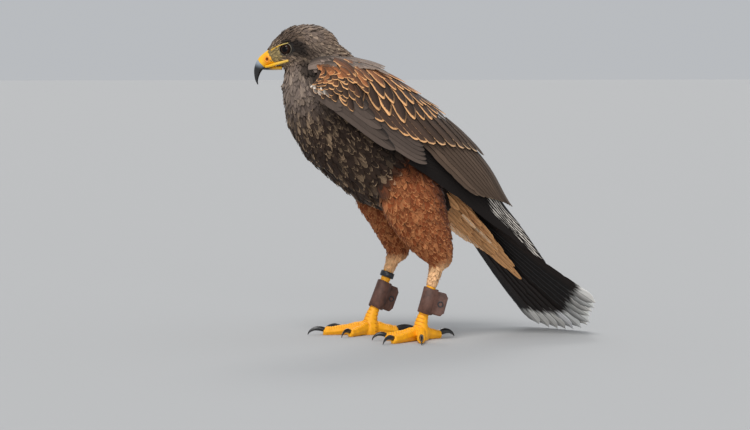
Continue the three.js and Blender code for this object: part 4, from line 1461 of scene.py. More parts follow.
@dataclass
class VaneRow:
    """A row of wing feathers: each value runs from the first feather's to the last's."""

    count: int
    root_back: tuple[float, float]
    root_up: tuple[float, float]
    tip_back: tuple[float, float]
    tip_up: tuple[float, float]
    half: float
    base: float
    look: Look
    step: float = 0
    rise: float = 0
    lift: float = 1.6
    bow: float = 0
    ease: float = 1

    def grow(self, group: VaneGroup, shape: VaneShape) -> None:
        """Adds the row's feathers to the tier that they belong to."""
        for i in range(self.count):
            u = i / (self.count - 1)
            root = (blend(*self.root_back, u), blend(*self.root_up, u))
            tip = (blend(*self.tip_back, u**self.ease), blend(*self.tip_up, u))
            base = self.base + self.step * i
            group.add(Vane(root, tip, self.half, base, self.rise, self.lift, self.bow), shape, self.look)


def look_between(low: Look, high: Look, share: float) -> Look:
    """A look part of the way between two."""
    share = float(np.clip(share, 0, 1))
    return Look(*(blend(getattr(low, f.name), getattr(high, f.name), share) for f in fields(Look)))


def look_of(base: Plumage, edge: Plumage, **marks: float) -> Look:
    """A look from two named colours."""
    return Look(base.rgb, edge.rgb, **marks)


PRIMARY_LOOK = look_of(Plumage.PRIMARY, Plumage.PRIMARY_PALE, inner=0.5)
SECONDARY_LOOK = look_of(Plumage.FLIGHT, Plumage.FLIGHT_EDGE, tip=0.02)
ALULA_LOOK = look_of(Plumage.ALULA, Plumage.FLIGHT_EDGE)
GREATER_LOOK = look_of(Plumage.SCALE, Plumage.SCALE_EDGE, rim=0.1, tip=0.05)
SCALE_LOOK = look_of(Plumage.SCALE, Plumage.SCALE_EDGE, rim=0.46)
BAND_LOOK = look_of(Plumage.RUFOUS, Plumage.RUFOUS_EDGE, rim=0.6)
WRIST_LOOK = look_of(Plumage.DOWN, Plumage.WHITE, rim=0.4)
MANTLE_LOOK = look_of(Plumage.MANTLE, Plumage.BACK_EDGE, rim=0.12)


@dataclass
class Wings:
    """Both folded wings: a closed core and the tiers of feathers over it."""

    frame: BodyFrame
    feathers: Material
    core: Material
    skin: BVHTree

    SIDES = {1: "left", -1: "right"}
    MANTLE_ROWS = ((0.075, 0.24, 0.77, 9), (0.06, 0.25, 0.87, 10), (0.04, 0.26, 0.97, 10))
    SCALE_TIPS = (
        (0.0, 0.1), (0.06, 0.19), (0.13, 0.26), (0.22, 0.3), (0.3, 0.34),
        (0.36, 0.47), (0.4, 0.62), (0.43, 0.78), (0.45, 0.95),
    )
    GREATER_TIPS = (
        (0.27, 0.25), (0.34, 0.27), (0.39, 0.3), (0.43, 0.335), (0.478, 0.43),
        (0.525, 0.545), (0.56, 0.66), (0.6, 0.78),
    )

    def build(self) -> None:
        """Makes every tier."""
        self._cores()
        self._primaries()
        self._secondaries()
        self._alula()
        self._coverts()
        self._mantle()

    def _nodes(self, tier: str) -> dict[int, list[str]]:
        """The nodes that a tier's two pieces stand for."""
        return {side: [f"wing_{name}_{tier}"] for side, name in self.SIDES.items()}

    def _cores(self) -> None:
        """The filled wing under the small coverts."""
        for side, name in self.SIDES.items():
            shape = Slab(28, 40).build(lambda x, t, over: self._core_point(x, t, over, side))
            mesh = mesh_of(shape, f"wing_core_{name}")
            paint(mesh, "tone", np.tile(Plumage.SCALE.rgb * 0.7, (len(mesh.vertices), 1)))
            new_object(mesh.name, mesh, self.core, "wing_plumage")

    def _core_point(self, x: Array, t: Array, over: Array, side: int) -> Array:
        """Points of a core: x across, t along, over 1 on its outer face."""
        a = blend(0.006, 0.45, t)
        low = np.where(a < 0.16, blend(0.12, 0.3, a / 0.16), blend(0.3, 0.66, (a - 0.16) / 0.29))
        b = blend(low, 1.0, x)
        top = COVERTS + blend(0.0, 4.0, x) * np.sqrt(np.sin(math.pi * blend(0.2, 0.9, t)))
        height = blend(0.4, top * crest(a, b), over * rounded(t, 0.16) * rounded(x, 0.2))
        points = WING.at(a, b, height) * np.array([1, side, 1])
        return self.frame.out(points)

    def _primaries(self) -> None:
        """The longest feathers, dark with pale inner vanes."""
        plain = look_of(Plumage.PRIMARY, Plumage.PRIMARY_PALE)
        low, high = PRIMARIES - 0.2, PRIMARIES + 0.3
        rows = [
            VaneRow(4, (0.4, 0.4), (0.05, 0.1), (0.8, 0.95), (-0.06, 0.1), 5.4, low, plain, 0.1, lift=0.4),
            VaneRow(
                7, (0.4, 0.4), (0.1, 0.4), (0.998, 0.83), (0.35, 0.7), 5.4, high, PRIMARY_LOOK, 0.55, lift=0.7
            ),
        ]
        self._tier("primaries", 11, VaneShape(rows=26, cols=7), rows)

    def _secondaries(self) -> None:
        """The secondaries and tertials, brown-grey with thin pale edges."""
        row = VaneRow(
            11, (0.36, 0.42), (0.38, 0.82), (0.64, 0.765), (0.14, 0.7), 5.4, SECONDARIES + 0.1,
            SECONDARY_LOOK, 0.45, lift=2, bow=-0.03, ease=0.8,
        )
        self._tier("secondaries", 12, VaneShape(rows=20, cols=7, shoulder=0.75), [row])

    def _alula(self) -> None:
        """The alula and the coverts of the primaries, along the front edge."""
        rows = [
            VaneRow(
                6, (0.19, 0.22), (0.12, 0.36), (0.445, 0.4), (0.1, 0.3), 4.4, SECONDARIES + 2.2, ALULA_LOOK,
                step=0.2, lift=1.8,
            ),
            VaneRow(
                5, (0.04, 0.12), (0.09, 0.33), (0.335, 0.21), (0.06, 0.27), 5.4, SECONDARIES + 4.6,
                ALULA_LOOK, step=0.2, rise=0.6,
            ),
            VaneRow(
                4, (0.0, 0.03), (0.1, 0.3), (0.15, 0.14), (0.08, 0.24), 5.5, SECONDARIES + 3.2, ALULA_LOOK,
                rise=2.8, lift=1.2,
            ),
        ]
        self._tier("alula", 13, VaneShape(shoulder=0.78, ragged=0.03), rows)

    def _tier(self, tier: str, seed: int, shape: VaneShape, rows: list[VaneRow]) -> None:
        """A tier of flight feathers, made of rows."""
        group = VaneGroup(self.frame, seed)
        for row in rows:
            row.grow(group, shape)
        group.finish(f"{tier}_{{}}", self.feathers, "wing_plumage", self._nodes(tier))

    def _coverts(self) -> None:
        """The greater coverts and the scaled rows over them, smaller towards the wrist."""
        group = VaneGroup(self.frame, 14)
        greater = VaneShape(rows=14, cols=7, shoulder=0.84)
        for i in range(12):
            u = i / 11
            back, up = Spline(self.GREATER_TIPS).at(np.array(u))
            root, base = (back - 0.15, min(up + 0.2, 0.86)), COVERTS - 0.6 + 2.5 * u**2
            vane = Vane(root, (back, up), 5.4, base, rise=0.8)
            group.add(vane, greater, look_between(GREATER_LOOK, SECONDARY_LOOK, 1.4 * u - 0.4))
        self._wrist(group)
        for r in range(6):
            self._scales(group, r)
        group.finish("coverts_{}", self.feathers, "rufous_plumage", self._nodes("coverts"))

    def _scales(self, group: VaneGroup, row: int) -> None:
        """One row of scaled coverts, counted from the lowest."""
        shape = VaneShape(rows=11, cols=7, shoulder=0.3, narrow_root=0.6, ragged=0.05, point=1.7)
        count = 16
        for i in range(count):
            u = (i + 0.5 * (row % 2)) / (count - 1)
            back, up = Spline(self.SCALE_TIPS).at(np.array(u)) + row * np.array((-0.024, 0.155))
            back, up = back + group.rng.normal(0, 0.005), up + group.rng.normal(0, 0.014)
            if up > 1.06 or back < 0.13:
                continue
            grown = blend(0.55, 1.0, min(u / 0.35, 1)) * group.rng.uniform(0.9, 1.1)
            root = (max(back - 0.07 * grown, 0.0), min(up + 0.36 * grown, 1.08))
            base = (COVERTS + 0.4 + 0.8 * row) * float(crest(back, up)) - 3 * (1 - grown)
            vane = Vane(root, (max(back, 0.004), up), 8.2 * grown, base, rise=2.0, lift=0.7)
            group.add(vane, shape, self._scale_look(row, u, group.rng), 0.4)

    def _wrist(self, group: VaneGroup) -> None:
        """The small coverts in front of the scaled rows, with white flecks along the wing's front edge."""
        shape = VaneShape(rows=8, cols=5, shoulder=0.4, ragged=0.08, point=1.8)
        for row in range(10):
            for k in range(9):
                a = 0.012 + 0.021 * (k + 0.5 * (row % 2)) + group.rng.normal(0, 0.006)
                b = 0.16 + 0.085 * row + group.rng.normal(0, 0.026)
                base = (COVERTS + 2.4 + 0.3 * row) * float(crest(a, b))
                orange = 0.2 * row - 0.45 + group.rng.normal(0, 0.3)
                look = look_between(SCALE_LOOK, BAND_LOOK, orange)
                look = replace(look, rim=look.rim * group.rng.uniform(0.4, 1.2))
                a = max(a, 0.002)
                vane = Vane((max(a - 0.04, 0), b + 0.13), (a, b), 3.6, base, rise=1.2, lift=0.5)
                group.add(vane, shape, look, 0.35)
        for k in range(16):
            a, b = 0.006 * k + 0.006, 0.1 + group.rng.normal(0, 0.03)
            vane = Vane((max(a - 0.025, 0), b + 0.07), (a, b), 1.5, COVERTS + 2.6, rise=1.0, lift=0.5)
            group.add(vane, shape, look_between(WRIST_LOOK, SCALE_LOOK, 1.3 * group.rng.random()), 0.3)

    @staticmethod
    def _scale_look(row: int, u: float, rng: Generator) -> Look:
        """A scaled covert's look: dark low down, rufous higher up."""
        orange = 0.34 * row - 0.4 + 0.7 * max(0, 0.3 - u) + rng.normal(0, 0.14)
        look = look_between(SCALE_LOOK, BAND_LOOK, orange)
        return replace(look, rim=look.rim * rng.uniform(0.65, 1.25))

    def _mantle(self) -> None:
        """The back's long feathers that hang over the wings' upper edges."""
        group = VaneGroup(self.frame, 15)
        shape = VaneShape(rows=11, cols=7, shoulder=0.55, narrow_root=0.7, ragged=0.14)
        for r, (start, end, up, count) in enumerate(self.MANTLE_ROWS):
            for k in range(count):
                u = (k + 0.5 * (r % 2)) / count
                a = blend(start, end, u) + group.rng.normal(0, 0.006)
                b = up + 0.12 * u * (r == 0) + group.rng.normal(0, 0.025)
                tip = self._over_coverts(a, b, 5.8 + 0.5 * r)
                root = self._over_coverts(a - 0.085, b + 0.2, 2.6 + 0.5 * r)
                out = unit(self._over_coverts(a, b, 9.0) - tip)
                if a < 0.1:
                    root, out = self._on_skin(root + np.array((-200 * (0.1 - a), 3, 2)))
                group.add(FreeVane(root, tip, out, 6.2, arch=1.6), shape, MANTLE_LOOK, 0.4)
        group.finish("mantle_{}", self.feathers, "plumage", {1: [], -1: []})

    @staticmethod
    def _over_coverts(a: float, b: float, height: float) -> Array:
        """A point over the scaled coverts."""
        top = (COVERTS + 4 * np.clip(b, 0, 1)) * crest(a, b) + height
        return WING.at(np.maximum(np.array(a), 0), np.array(b), top)

    def _on_skin(self, place: Array) -> tuple[Array, Array]:
        """The skin's nearest point to a place, and its way out there."""
        spot, normal, _, _ = self.skin.find_nearest(Vector(place))
        return np.array(spot), np.array(normal)


# The tail


@dataclass(frozen=True)
class Wedge:
    """A filled root on the tail's sheet: each pair runs from its front end to its back end."""

    name: str
    run: tuple[float, float]
    half: tuple[float, float]
    depth: tuple[float, float]
    top: float
    colour: Plumage
    slot: str

    def at(self, x: Array, t: Array, over: Array) -> Array:
        """Points of the wedge, x across and t along, from its top down, or up where its depth is negative."""
        across = 2 * x - 1
        deep = blend(*self.depth, t) * np.sqrt(1 - 0.96 * across**2) * rounded(t * 0.5, 0.06)
        return TAIL.at(blend(*self.run, t), blend(*self.half, t) * across, self.top - deep * (1 - over))


WEDGES = (
    Wedge("tail_root", (6, 74), (12, 24), (6, 4.4), 0, Plumage.TAIL, "tail_plumage"),
    Wedge("undertail_core", (-8, 62), (28, 18), (16, 2.8), -6.35, Plumage.BUFF, "pale_plumage"),
    Wedge("uppertail_core", (-4, 44), (20, 16), (-6, -2.4), 0.35, Plumage.DOWN, "pale_plumage"),
)


@dataclass
class Tail:
    """The tail's fan and the coverts over and under its root."""

    frame: BodyFrame
    feathers: Material
    soft: Material
    core: Material

    FEATHERS = 12
    ROOT_HALF = 15
    DEPTH = 6
    FAN = 15

    def build(self) -> None:
        """Makes the fan and its coverts."""
        self._fan()
        self._cores()
        self._under()
        self._over()

    def _fan(self) -> None:
        """The twelve tail feathers, the middle ones on top."""
        group = VaneGroup(self.frame, 21, sides=(1,))
        shape = VaneShape(rows=36, cols=9, shoulder=0.88, ragged=0.09, point=3)
        white = look_of(Plumage.TAIL, Plumage.WHITE, tip=0.16)
        for i in range(self.FEATHERS):
            place = (2 * i - self.FEATHERS + 1) / (self.FEATHERS - 1)
            middle = abs(place) < 0.1
            uneven = 1 - 0.055 * group.rng.random()
            vane = TailVane(
                start=40,
                side=place * self.ROOT_HALF,
                turn=math.radians(place * self.FAN),
                length=(TAIL.length - 42) * (1 - 0.075 * place**2) * uneven,
                half=12,
                height=-0.95 if middle and place < 0 else -1.9,
                tucked=0 if middle else -math.copysign(1, place),
            )
            group.add(vane, shape, white)
        group.finish("tail_fan", self.feathers, "tail_plumage", {1: ["tail"]})

    def _cores(self) -> None:
        """The filled roots of the fan and of both sets of coverts."""
        for wedge in WEDGES:
            shape = Slab(16, 16).build(lambda x, t, over: self.frame.out(wedge.at(x, t, over)))
            mesh = mesh_of(shape, wedge.name)
            paint(mesh, "tone", np.tile(wedge.colour.rgb, (len(mesh.vertices), 1)))
            new_object(wedge.name, mesh, self.core, wedge.slot)

    @staticmethod
    def _row(
        group: VaneGroup, count: int, start: float, length: float, height: float, fan: float, spread: float,
        half: float, look: Look, shape: VaneShape, taper: float = 0.2,
    ) -> None:
        """A row of coverts on the tail's sheet."""
        for i in range(count):
            place = (2 * i - count + 1) / (count - 1)
            vane = TailVane(
                start=start + group.rng.normal(0, 1.2),
                side=place * spread,
                turn=math.radians(place * fan + group.rng.normal(0, 1.5)),
                length=length * (1 - taper * place**2),
                half=half,
                height=height + group.rng.normal(0, 0.2),
                tucked=1,
                lift=1.3,
                root=0.5,
            )
            group.add(vane, shape, look, 0.4)

    def _under(self) -> None:
        """The long soft buff feathers under the tail, with white down in front."""
        group = VaneGroup(self.frame, 22, sides=(1,))
        soft = VaneShape(rows=18, cols=7, shoulder=0.4, ragged=0.1, point=1.6)
        buff = look_of(Plumage.BUFF, Plumage.TAN, streak=0.5)
        below = -self.DEPTH - 0.35 - 0.6
        for count, start, length, under, fan, spread in (
            (3, 52, 90, 0.3, 1, 4),
            (5, 40, 88, 1.2, 2, 9),
            (7, 26, 76, 2.6, 5, 16),
            (7, 14, 70, 4.8, 6, 16),
            (7, 2, 64, 7.4, 7, 15),
            (6, -6, 54, 10, 7, 13),
        ):
            self._row(group, count, start, length, below - under, fan, spread, 8.5, buff, soft, taper=0.3)
        down = look_of(Plumage.HOCK, Plumage.DOWN, streak=0.6)
        wisp = VaneShape(rows=9, cols=6, shoulder=0.3, ragged=0.3)
        for k in range(7):
            self._row(group, 2, 38 + 6 * k, 26, below - 9.5 + 1.3 * k, 4, 17 - 1.4 * k, 4.5, down, wisp)
        group.finish("undertail", self.soft, "pale_plumage", {1: ["undertail_coverts"]})

    def _over(self) -> None:
        """The coverts over the tail's root."""
        group = VaneGroup(self.frame, 23, sides=(1,))
        shape = VaneShape(rows=14, cols=7, shoulder=0.5, ragged=0.1)
        pale = look_of(Plumage.PRIMARY, Plumage.WHITE, inner=0.5)
        dark = look_of(Plumage.BACK, Plumage.BACK_EDGE, rim=0.2)
        self._row(group, 8, 22, 58, 1.8, 12, 14, 7.5, pale, shape)
        self._row(group, 7, 12, 50, 3.6, 11, 13, 7.5, look_between(pale, dark, 0.4), shape)
        self._row(group, 7, 0, 44, 5.6, 10, 12, 7.5, dark, shape)
        self._row(group, 6, -10, 40, 7.6, 9, 10, 7.5, dark, shape)
        group.finish("uppertail", self.soft, "pale_plumage", {1: ["uppertail_coverts"]})


# The head's bare parts


class Bare(Paint):
    """Linear colours of skin, horn and what the bird wears."""

    YELLOW = shade(255, 190, 6)
    ORANGE = shade(236, 122, 24)
    PALE = shade(222, 196, 110)
    BILL = shade(150, 160, 170)
    BILL_DARK = shade(22, 21, 23)
    LID = shade(98, 90, 76)
    LEG = shade(255, 176, 6)
    LEG_SHADE = shade(196, 104, 6)
    CLAW = shade(20, 18, 18)
    IRIS = shade(40, 22, 12)
    # Near black of the pupils, also used for painted shade in the nostril pits.
    PUPIL_AND_SHADE = shade(4, 4, 5)
    LEATHER = shade(104, 70, 58)
    RING = shade(34, 37, 42)


@dataclass
class HeadParts:
    """The eyes, lids, brow line, cere, gape and bill."""

    frame: BodyFrame
    finishes: dict[str, Material]

    CERE = [
        Ring((35, 0, -8.4), 11.6, 8, 9.2),
        Ring((40, 0, -9.4), 10.4, 7.2, 8.2),
        Ring((44.5, 0, -10.8), 8.8, 6.4, 7.0),
        Ring((48.6, 0, -12.8), 7.2, 5.6, 6.0),
        Ring((51.2, 0, -15.2), 5.9, 5.2, 5.3),
    ]
    GAPE = [
        Ring((47, 5.2, -17.6), 1.3, 1.3, 1.2),
        Ring((42, 7.7, -16.6), 1.5, 1.5, 1.6),
        Ring((36, 9.8, -14.8), 1.6, 1.6, 1.8),
        Ring((23, 15.2, -11.4), 1.2, 1.2, 1.4),
    ]
    BROW = [
        Ring((41, 7.0, -0.8), 0.6, 0.7, 0.8),
        Ring((36, 10.8, 2.2), 0.55, 0.65, 0.9),
        Ring((30, 14.6, 4.8), 0.5, 0.6, 0.9),
        Ring((23, 17.1, 6.9), 0.3, 0.3, 0.4),
    ]
    UPPER = [
        Ring((47.6, 0, -12.6), 6.9, 5.4, 5.7),
        Ring((51.6, 0, -15), 5.7, 5.4, 5.1),
        Ring((54.8, 0, -20), 4.2, 4.4, 3.9),
        Ring((56.2, 0, -26), 2.7, 2.9, 2.4),
        Ring((56.2, 0, -31.8), 1.4, 1.4, 1.1),
        Ring((55, 0, -36), 0.4, 0.4, 0.4),
    ]
    LOWER = [
        Ring((30, 0, -18.4), 2, 2.6, 7.6),
        Ring((40, 0, -19), 1.8, 2.2, 5.8),
        Ring((49, 0, -19.4), 1.5, 1.4, 3.6),
        Ring((52.8, 0, -19.4), 0.6, 0.6, 1.4),
    ]
    NOSTRIL = (45.3, 6.6, -9.9)
    EYE_TURN = 20

    def build(self) -> None:
        """Makes every bare part of the head."""
        self._cere()
        self._bill()
        for side, name in ((1, "left"), (-1, "right")):
            self._eye(side, name)
            self._lids(side, name)
            self._brow(side, name)

    def _show(self, name: str, mesh: Mesh, tone: Array, finish: str, slot: str) -> Object:
        """A painted piece, moved from the head's frame to the part's."""
        paint(mesh, "tone", tone)
        set_points(mesh, self.frame.out(HEAD.place(points_of(mesh))))
        return new_object(name, mesh, self.finishes[finish], slot)

    def _cere(self) -> None:
        """The cere with its pits for the nostrils, painted near black for the shade inside them, and the
        yellow strips of the gape.
        """
        shape = Loft(self.CERE, sides=56, steps=40).build()
        for side in (1, -1):
            strip = Loft([ring.mirrored(side) for ring in self.GAPE], sides=16, steps=24)
            put_part(shape, mesh_of(strip.build(), "strip"))
        mesh = mesh_of(shape, "cere")
        local = points_of(mesh)
        away = np.linalg.norm((local - np.array(self.NOSTRIL)) * np.array([1, 0, 0.8]), axis=1)
        outside = np.abs(local[:, 1]) > 4
        near = np.exp(-((away / 1.25) ** 4)) * outside
        rim = np.exp(-(((away - 2.1) / 0.9) ** 2)) * outside
        moved = local.copy()
        moved[:, 1] += np.sign(local[:, 1]) * (0.35 * rim - 2.2 * near)
        set_points(mesh, moved)
        warm = np.exp(-((away / 3.6) ** 2))[:, None]
        tone = blend(Bare.YELLOW.rgb, Bare.ORANGE.rgb, warm * 0.9)
        tone = blend(tone, Bare.PALE.rgb, ramp(-local[:, 0], -40, -30)[:, None] * 0.5)
        # Painted shade: the nostril pits are painted near black for the shade inside the openings.
        tone = blend(tone, Bare.PUPIL_AND_SHADE.rgb, near[:, None])
        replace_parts(self._show("cere_skin", mesh, tone, "cere", "cere"), "cere")

    def _bill(self) -> None:
        """The horn of the bill, blue-grey fading to black at its tip."""
        for node, rings in (("bill_upper", self.UPPER), ("bill_lower", self.LOWER)):
            name = node.replace("bill", "bill_horn")
            mesh = mesh_of(Loft(rings, sides=36, steps=48).build(), name)
            local = points_of(mesh)
            if node == "bill_upper":
                pale, dark = Bare.BILL.rgb, ramp(-local[:, 2] + 0.35 * (local[:, 0] - 52), 13.5, 21)
            else:
                pale, dark = Bare.YELLOW.rgb * 0.7, ramp(local[:, 0], 36, 46)
            tone = blend(pale, Bare.BILL_DARK.rgb, dark[:, None])
            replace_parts(self._show(name, mesh, tone, "horn", "bill"), node)

    def _gaze(self, side: int) -> Array:
        """The way that an eye looks, in the head's frame."""
        turn = math.radians(self.EYE_TURN)
        return np.array([math.sin(turn), side * math.cos(turn), 0])

    def _eye(self, side: int, name: str) -> None:
        """An eyeball with its pupil and iris painted round its gaze, under a clear wet surface."""
        shape = bmesh.new()
        bmesh.ops.create_uvsphere(shape, u_segments=64, v_segments=48, radius=EYE_RADIUS)
        mesh = mesh_of(shape, f"eyeball_{name}")
        local = points_of(mesh)
        gaze = self._gaze(side)
        angle = np.arccos(np.clip(unit(local) @ gaze, -1, 1))
        bulge = 1 + 0.035 * (1 - ramp(angle, 0.35, 0.8))
        set_points(mesh, local * bulge[:, None] + np.array(EYE_AT) * np.array([1, side, 1]))
        iris = blend(Bare.IRIS.rgb, Bare.IRIS.rgb * 0.35, ramp(angle, 0.6, 0.85)[:, None])
        tone = blend(Bare.PUPIL_AND_SHADE.rgb, iris, ramp(angle, 0.38, 0.42)[:, None])
        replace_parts(self._show(f"eyeball_{name}", mesh, tone, "eye", "eye"), f"eye_{name}")

    def _lids(self, side: int, name: str) -> None:
        """The thin pale ring of skin round an eye, a little flattened above."""
        gaze = self._gaze(side)
        up = np.array([0.0, 0.0, 1.0])
        across = np.cross(up, gaze)
        turns = 60
        shape = bmesh.new()
        circle, rings = swept(shape, 14, turns - 1)
        centre = np.array(EYE_AT) * np.array([1, side, 1]) + gaze * (EYE_RADIUS - 2.7)
        for k, ring in enumerate(rings):
            angle = 2 * math.pi * k / turns
            radial = across * math.cos(angle) + up * math.sin(angle) * 0.93
            thick = 0.5 + 0.3 * max(0.0, math.sin(angle))
            for vert, (x, y) in zip(ring, circle):
                vert.co = centre + radial * (6.5 + x * thick) + gaze * y * 1.1
        bmesh.ops.bridge_loops(shape, edges=[edge for edge in shape.edges if edge.is_boundary])
        mesh = mesh_of(shape, f"lids_{name}")
        local = points_of(mesh)
        inner = np.linalg.norm(np.cross(local - centre, gaze), axis=1)
        tone = blend(Bare.PUPIL_AND_SHADE.rgb, Bare.LID.rgb, ramp(inner, 5.7, 6.4)[:, None])
        tone = blend(tone, Plumage.MASK.rgb, ramp(inner, 6.9, 7.4)[:, None])
        self._show(f"lids_{name}", mesh, tone, "cere", "cere")

    def _brow(self, side: int, name: str) -> None:
        """The pale bare line from the cere over an eye."""
        rings = [ring.mirrored(side) for ring in self.BROW]
        mesh = mesh_of(Loft(rings, sides=12, steps=28).build(), f"brow_{name}")
        share = ramp(-points_of(mesh)[:, 0], -40, -26)[:, None]
        self._show(f"brow_{name}", mesh, blend(Bare.YELLOW.rgb, Bare.PALE.rgb, share), "cere", "cere")


# The legs


@dataclass(frozen=True)
class Digit:
    """One toe: its turn from the foot's heading, its size and its claw's."""

    turn: float
    length: float
    thick: float
    claw: float
    claw_thick: float


DIGITS = (
    Digit(176, 30, 4.5, 25, 3.3),
    Digit(38, 36, 4.5, 22, 3.1),
    Digit(2, 50, 4.4, 18, 2.6),
    Digit(-44, 37, 4.1, 15, 2.3),
)


@dataclass(frozen=True)
class Leg:
    """One leg: its hock, its ankle and how its foot is turned."""

    name: str
    side: int
    hock: Triple
    ankle: Triple
    heading: float

    def foot(self, turn: float) -> Matrix:
        """The frame of a toe: +X along it, on the floor under the ankle."""
        angle = math.radians(self.heading - self.side * turn)
        return Matrix.Translation((self.ankle[0], self.ankle[1], 0)) @ Matrix.Rotation(angle, 4, "Z")

    def shank(self, share: float, turn: float) -> Matrix:
        """A frame at a share of the way down the shank, +Z up it and +X turned by an angle."""
        hock, ankle = Vector(self.hock), Vector(self.ankle)
        up = (hock - ankle).normalized()
        out = Vector((math.cos(math.radians(turn)), math.sin(math.radians(turn)), 0))
        side = up.cross(out).normalized()
        out = side.cross(up)
        turned = Matrix((out, side, up)).transposed().to_4x4()
        return Matrix.Translation(hock.lerp(ankle, share)) @ turned

    def length(self) -> float:
        """The shank's length."""
        return (Vector(self.hock) - Vector(self.ankle)).length


LEGS = (
    Leg("left", -1, (30, -39, 86), (10, -38, 16), 214),
    Leg("right", 1, (9, 38, 90), (-20, 39, 16), 172),
)


@dataclass
class Feet:
    """The scaly skin of the legs and feet, and their claws."""

    frame: BodyFrame
    finishes: dict[str, Material]

    VOXEL = 0.00062

    def build(self, nodes: dict[str, Object]) -> None:
        """Makes both legs."""
        for leg in LEGS:
            self._skin(leg, nodes)
            for index, digit in enumerate(DIGITS):
                self._claw(leg, digit, index + 1)

    def _skin(self, leg: Leg, nodes: dict[str, Object]) -> None:
        """One skin over a shank, its foot and its toes, raised in bands of scutes."""
        names = [f"tarsus_{leg.name}", f"foot_{leg.name}"] + [f"toe_{leg.name}_{k + 1}" for k in range(4)]
        shape = joined(nodes, names, 0.3)
        hock, ankle = Vector(leg.hock), Vector(leg.ankle)
        joint = [
            Ring(tuple(hock.lerp(ankle, 0.84)), 5, 5, 4.7),
            Ring(tuple(hock.lerp(ankle, 0.97)), 6.6, 6.6, 6.7),
            Ring((ankle.x, ankle.y, 9), 8.2, 8.2, 8.2),
        ]
        put_loft(shape, joint, self.frame)
        mesh = sealed(mesh_of(shape, f"leg_skin_{leg.name}"), self.VOXEL, smooth=5)
        points = self.frame.back(points_of(mesh))
        normals = normals_of(mesh)
        raised, groove = self._scutes(leg, points, normals)
        points += normals * raised[:, None]
        points[:, 2] = np.maximum(points[:, 2], 0.02)
        set_points(mesh, self.frame.out(points))
        tone = blend(Bare.LEG.rgb, Bare.LEG_SHADE.rgb, groove[:, None] * 0.75)
        paint(mesh, "tone", tone)
        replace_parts(new_object(f"leg_skin_{leg.name}", mesh, self.finishes["scaly"], "scaly_skin"), *names)

    @staticmethod
    def _scutes(leg: Leg, points: Array, normals: Array) -> tuple[Array, Array]:
        """How far each point stands out for its scute, and how deep it lies in a groove."""
        hock, ankle = np.array(leg.hock), np.array(leg.ankle)
        down = unit(ankle - hock)
        share = (points - hock) @ down
        heading = math.radians(leg.heading)
        front = np.array([math.cos(heading), math.sin(heading), 0])
        phase, band = share / 3.9, np.abs(normals @ front)
        for digit in DIGITS:
            local = through(points, leg.foot(digit.turn).inverted())
            on = (local[:, 0] > 6) & (np.abs(local[:, 1]) < digit.thick * 1.35) & (points[:, 2] < 15)
            phase = np.where(on, local[:, 0] / 2.6, phase)
            band = np.where(on, np.clip(normals[:, 2] * 1.6, 0, 1), band)
        wave = np.abs(np.sin(math.pi * phase))
        groove = (1 - ramp(wave, 0.0, 0.5)) * ramp(band, 0.2, 0.6)
        return 0.3 * ramp(band, 0.2, 0.7) - 0.75 * groove, groove

    def _claw(self, leg: Leg, digit: Digit, index: int) -> None:
        """A curved black claw."""
        end, reach, thick = digit.length, digit.claw, digit.claw_thick
        rings = [
            Ring((end - 2.6, 0, 5), thick * 0.9, thick * 0.9, thick * 0.72),
            Ring((end + reach * 0.24, 0, 7), thick, thick, thick * 0.75),
            Ring((end + reach * 0.58, 0, 6.4), thick * 0.72, thick * 0.7, thick * 0.52),
            Ring((end + reach * 0.84, 0, 3.6), thick * 0.4, thick * 0.4, thick * 0.3),
            Ring((end + reach * 0.94, 0, 0.6), 0.35, 0.35, 0.35),
        ]
        mesh = mesh_of(Loft(rings, sides=20, steps=30).build(), f"claw_horn_{leg.name}_{index}")
        points = through(points_of(mesh), leg.foot(digit.turn))
        points[:, 2] = np.maximum(points[:, 2], 0.02)
        set_points(mesh, self.frame.out(points))
        paint(mesh, "tone", np.tile(Bare.CLAW.rgb, (len(points), 1)))
        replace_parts(new_object(mesh.name, mesh, self.finishes["horn"], "horn"), f"claw_{leg.name}_{index}")


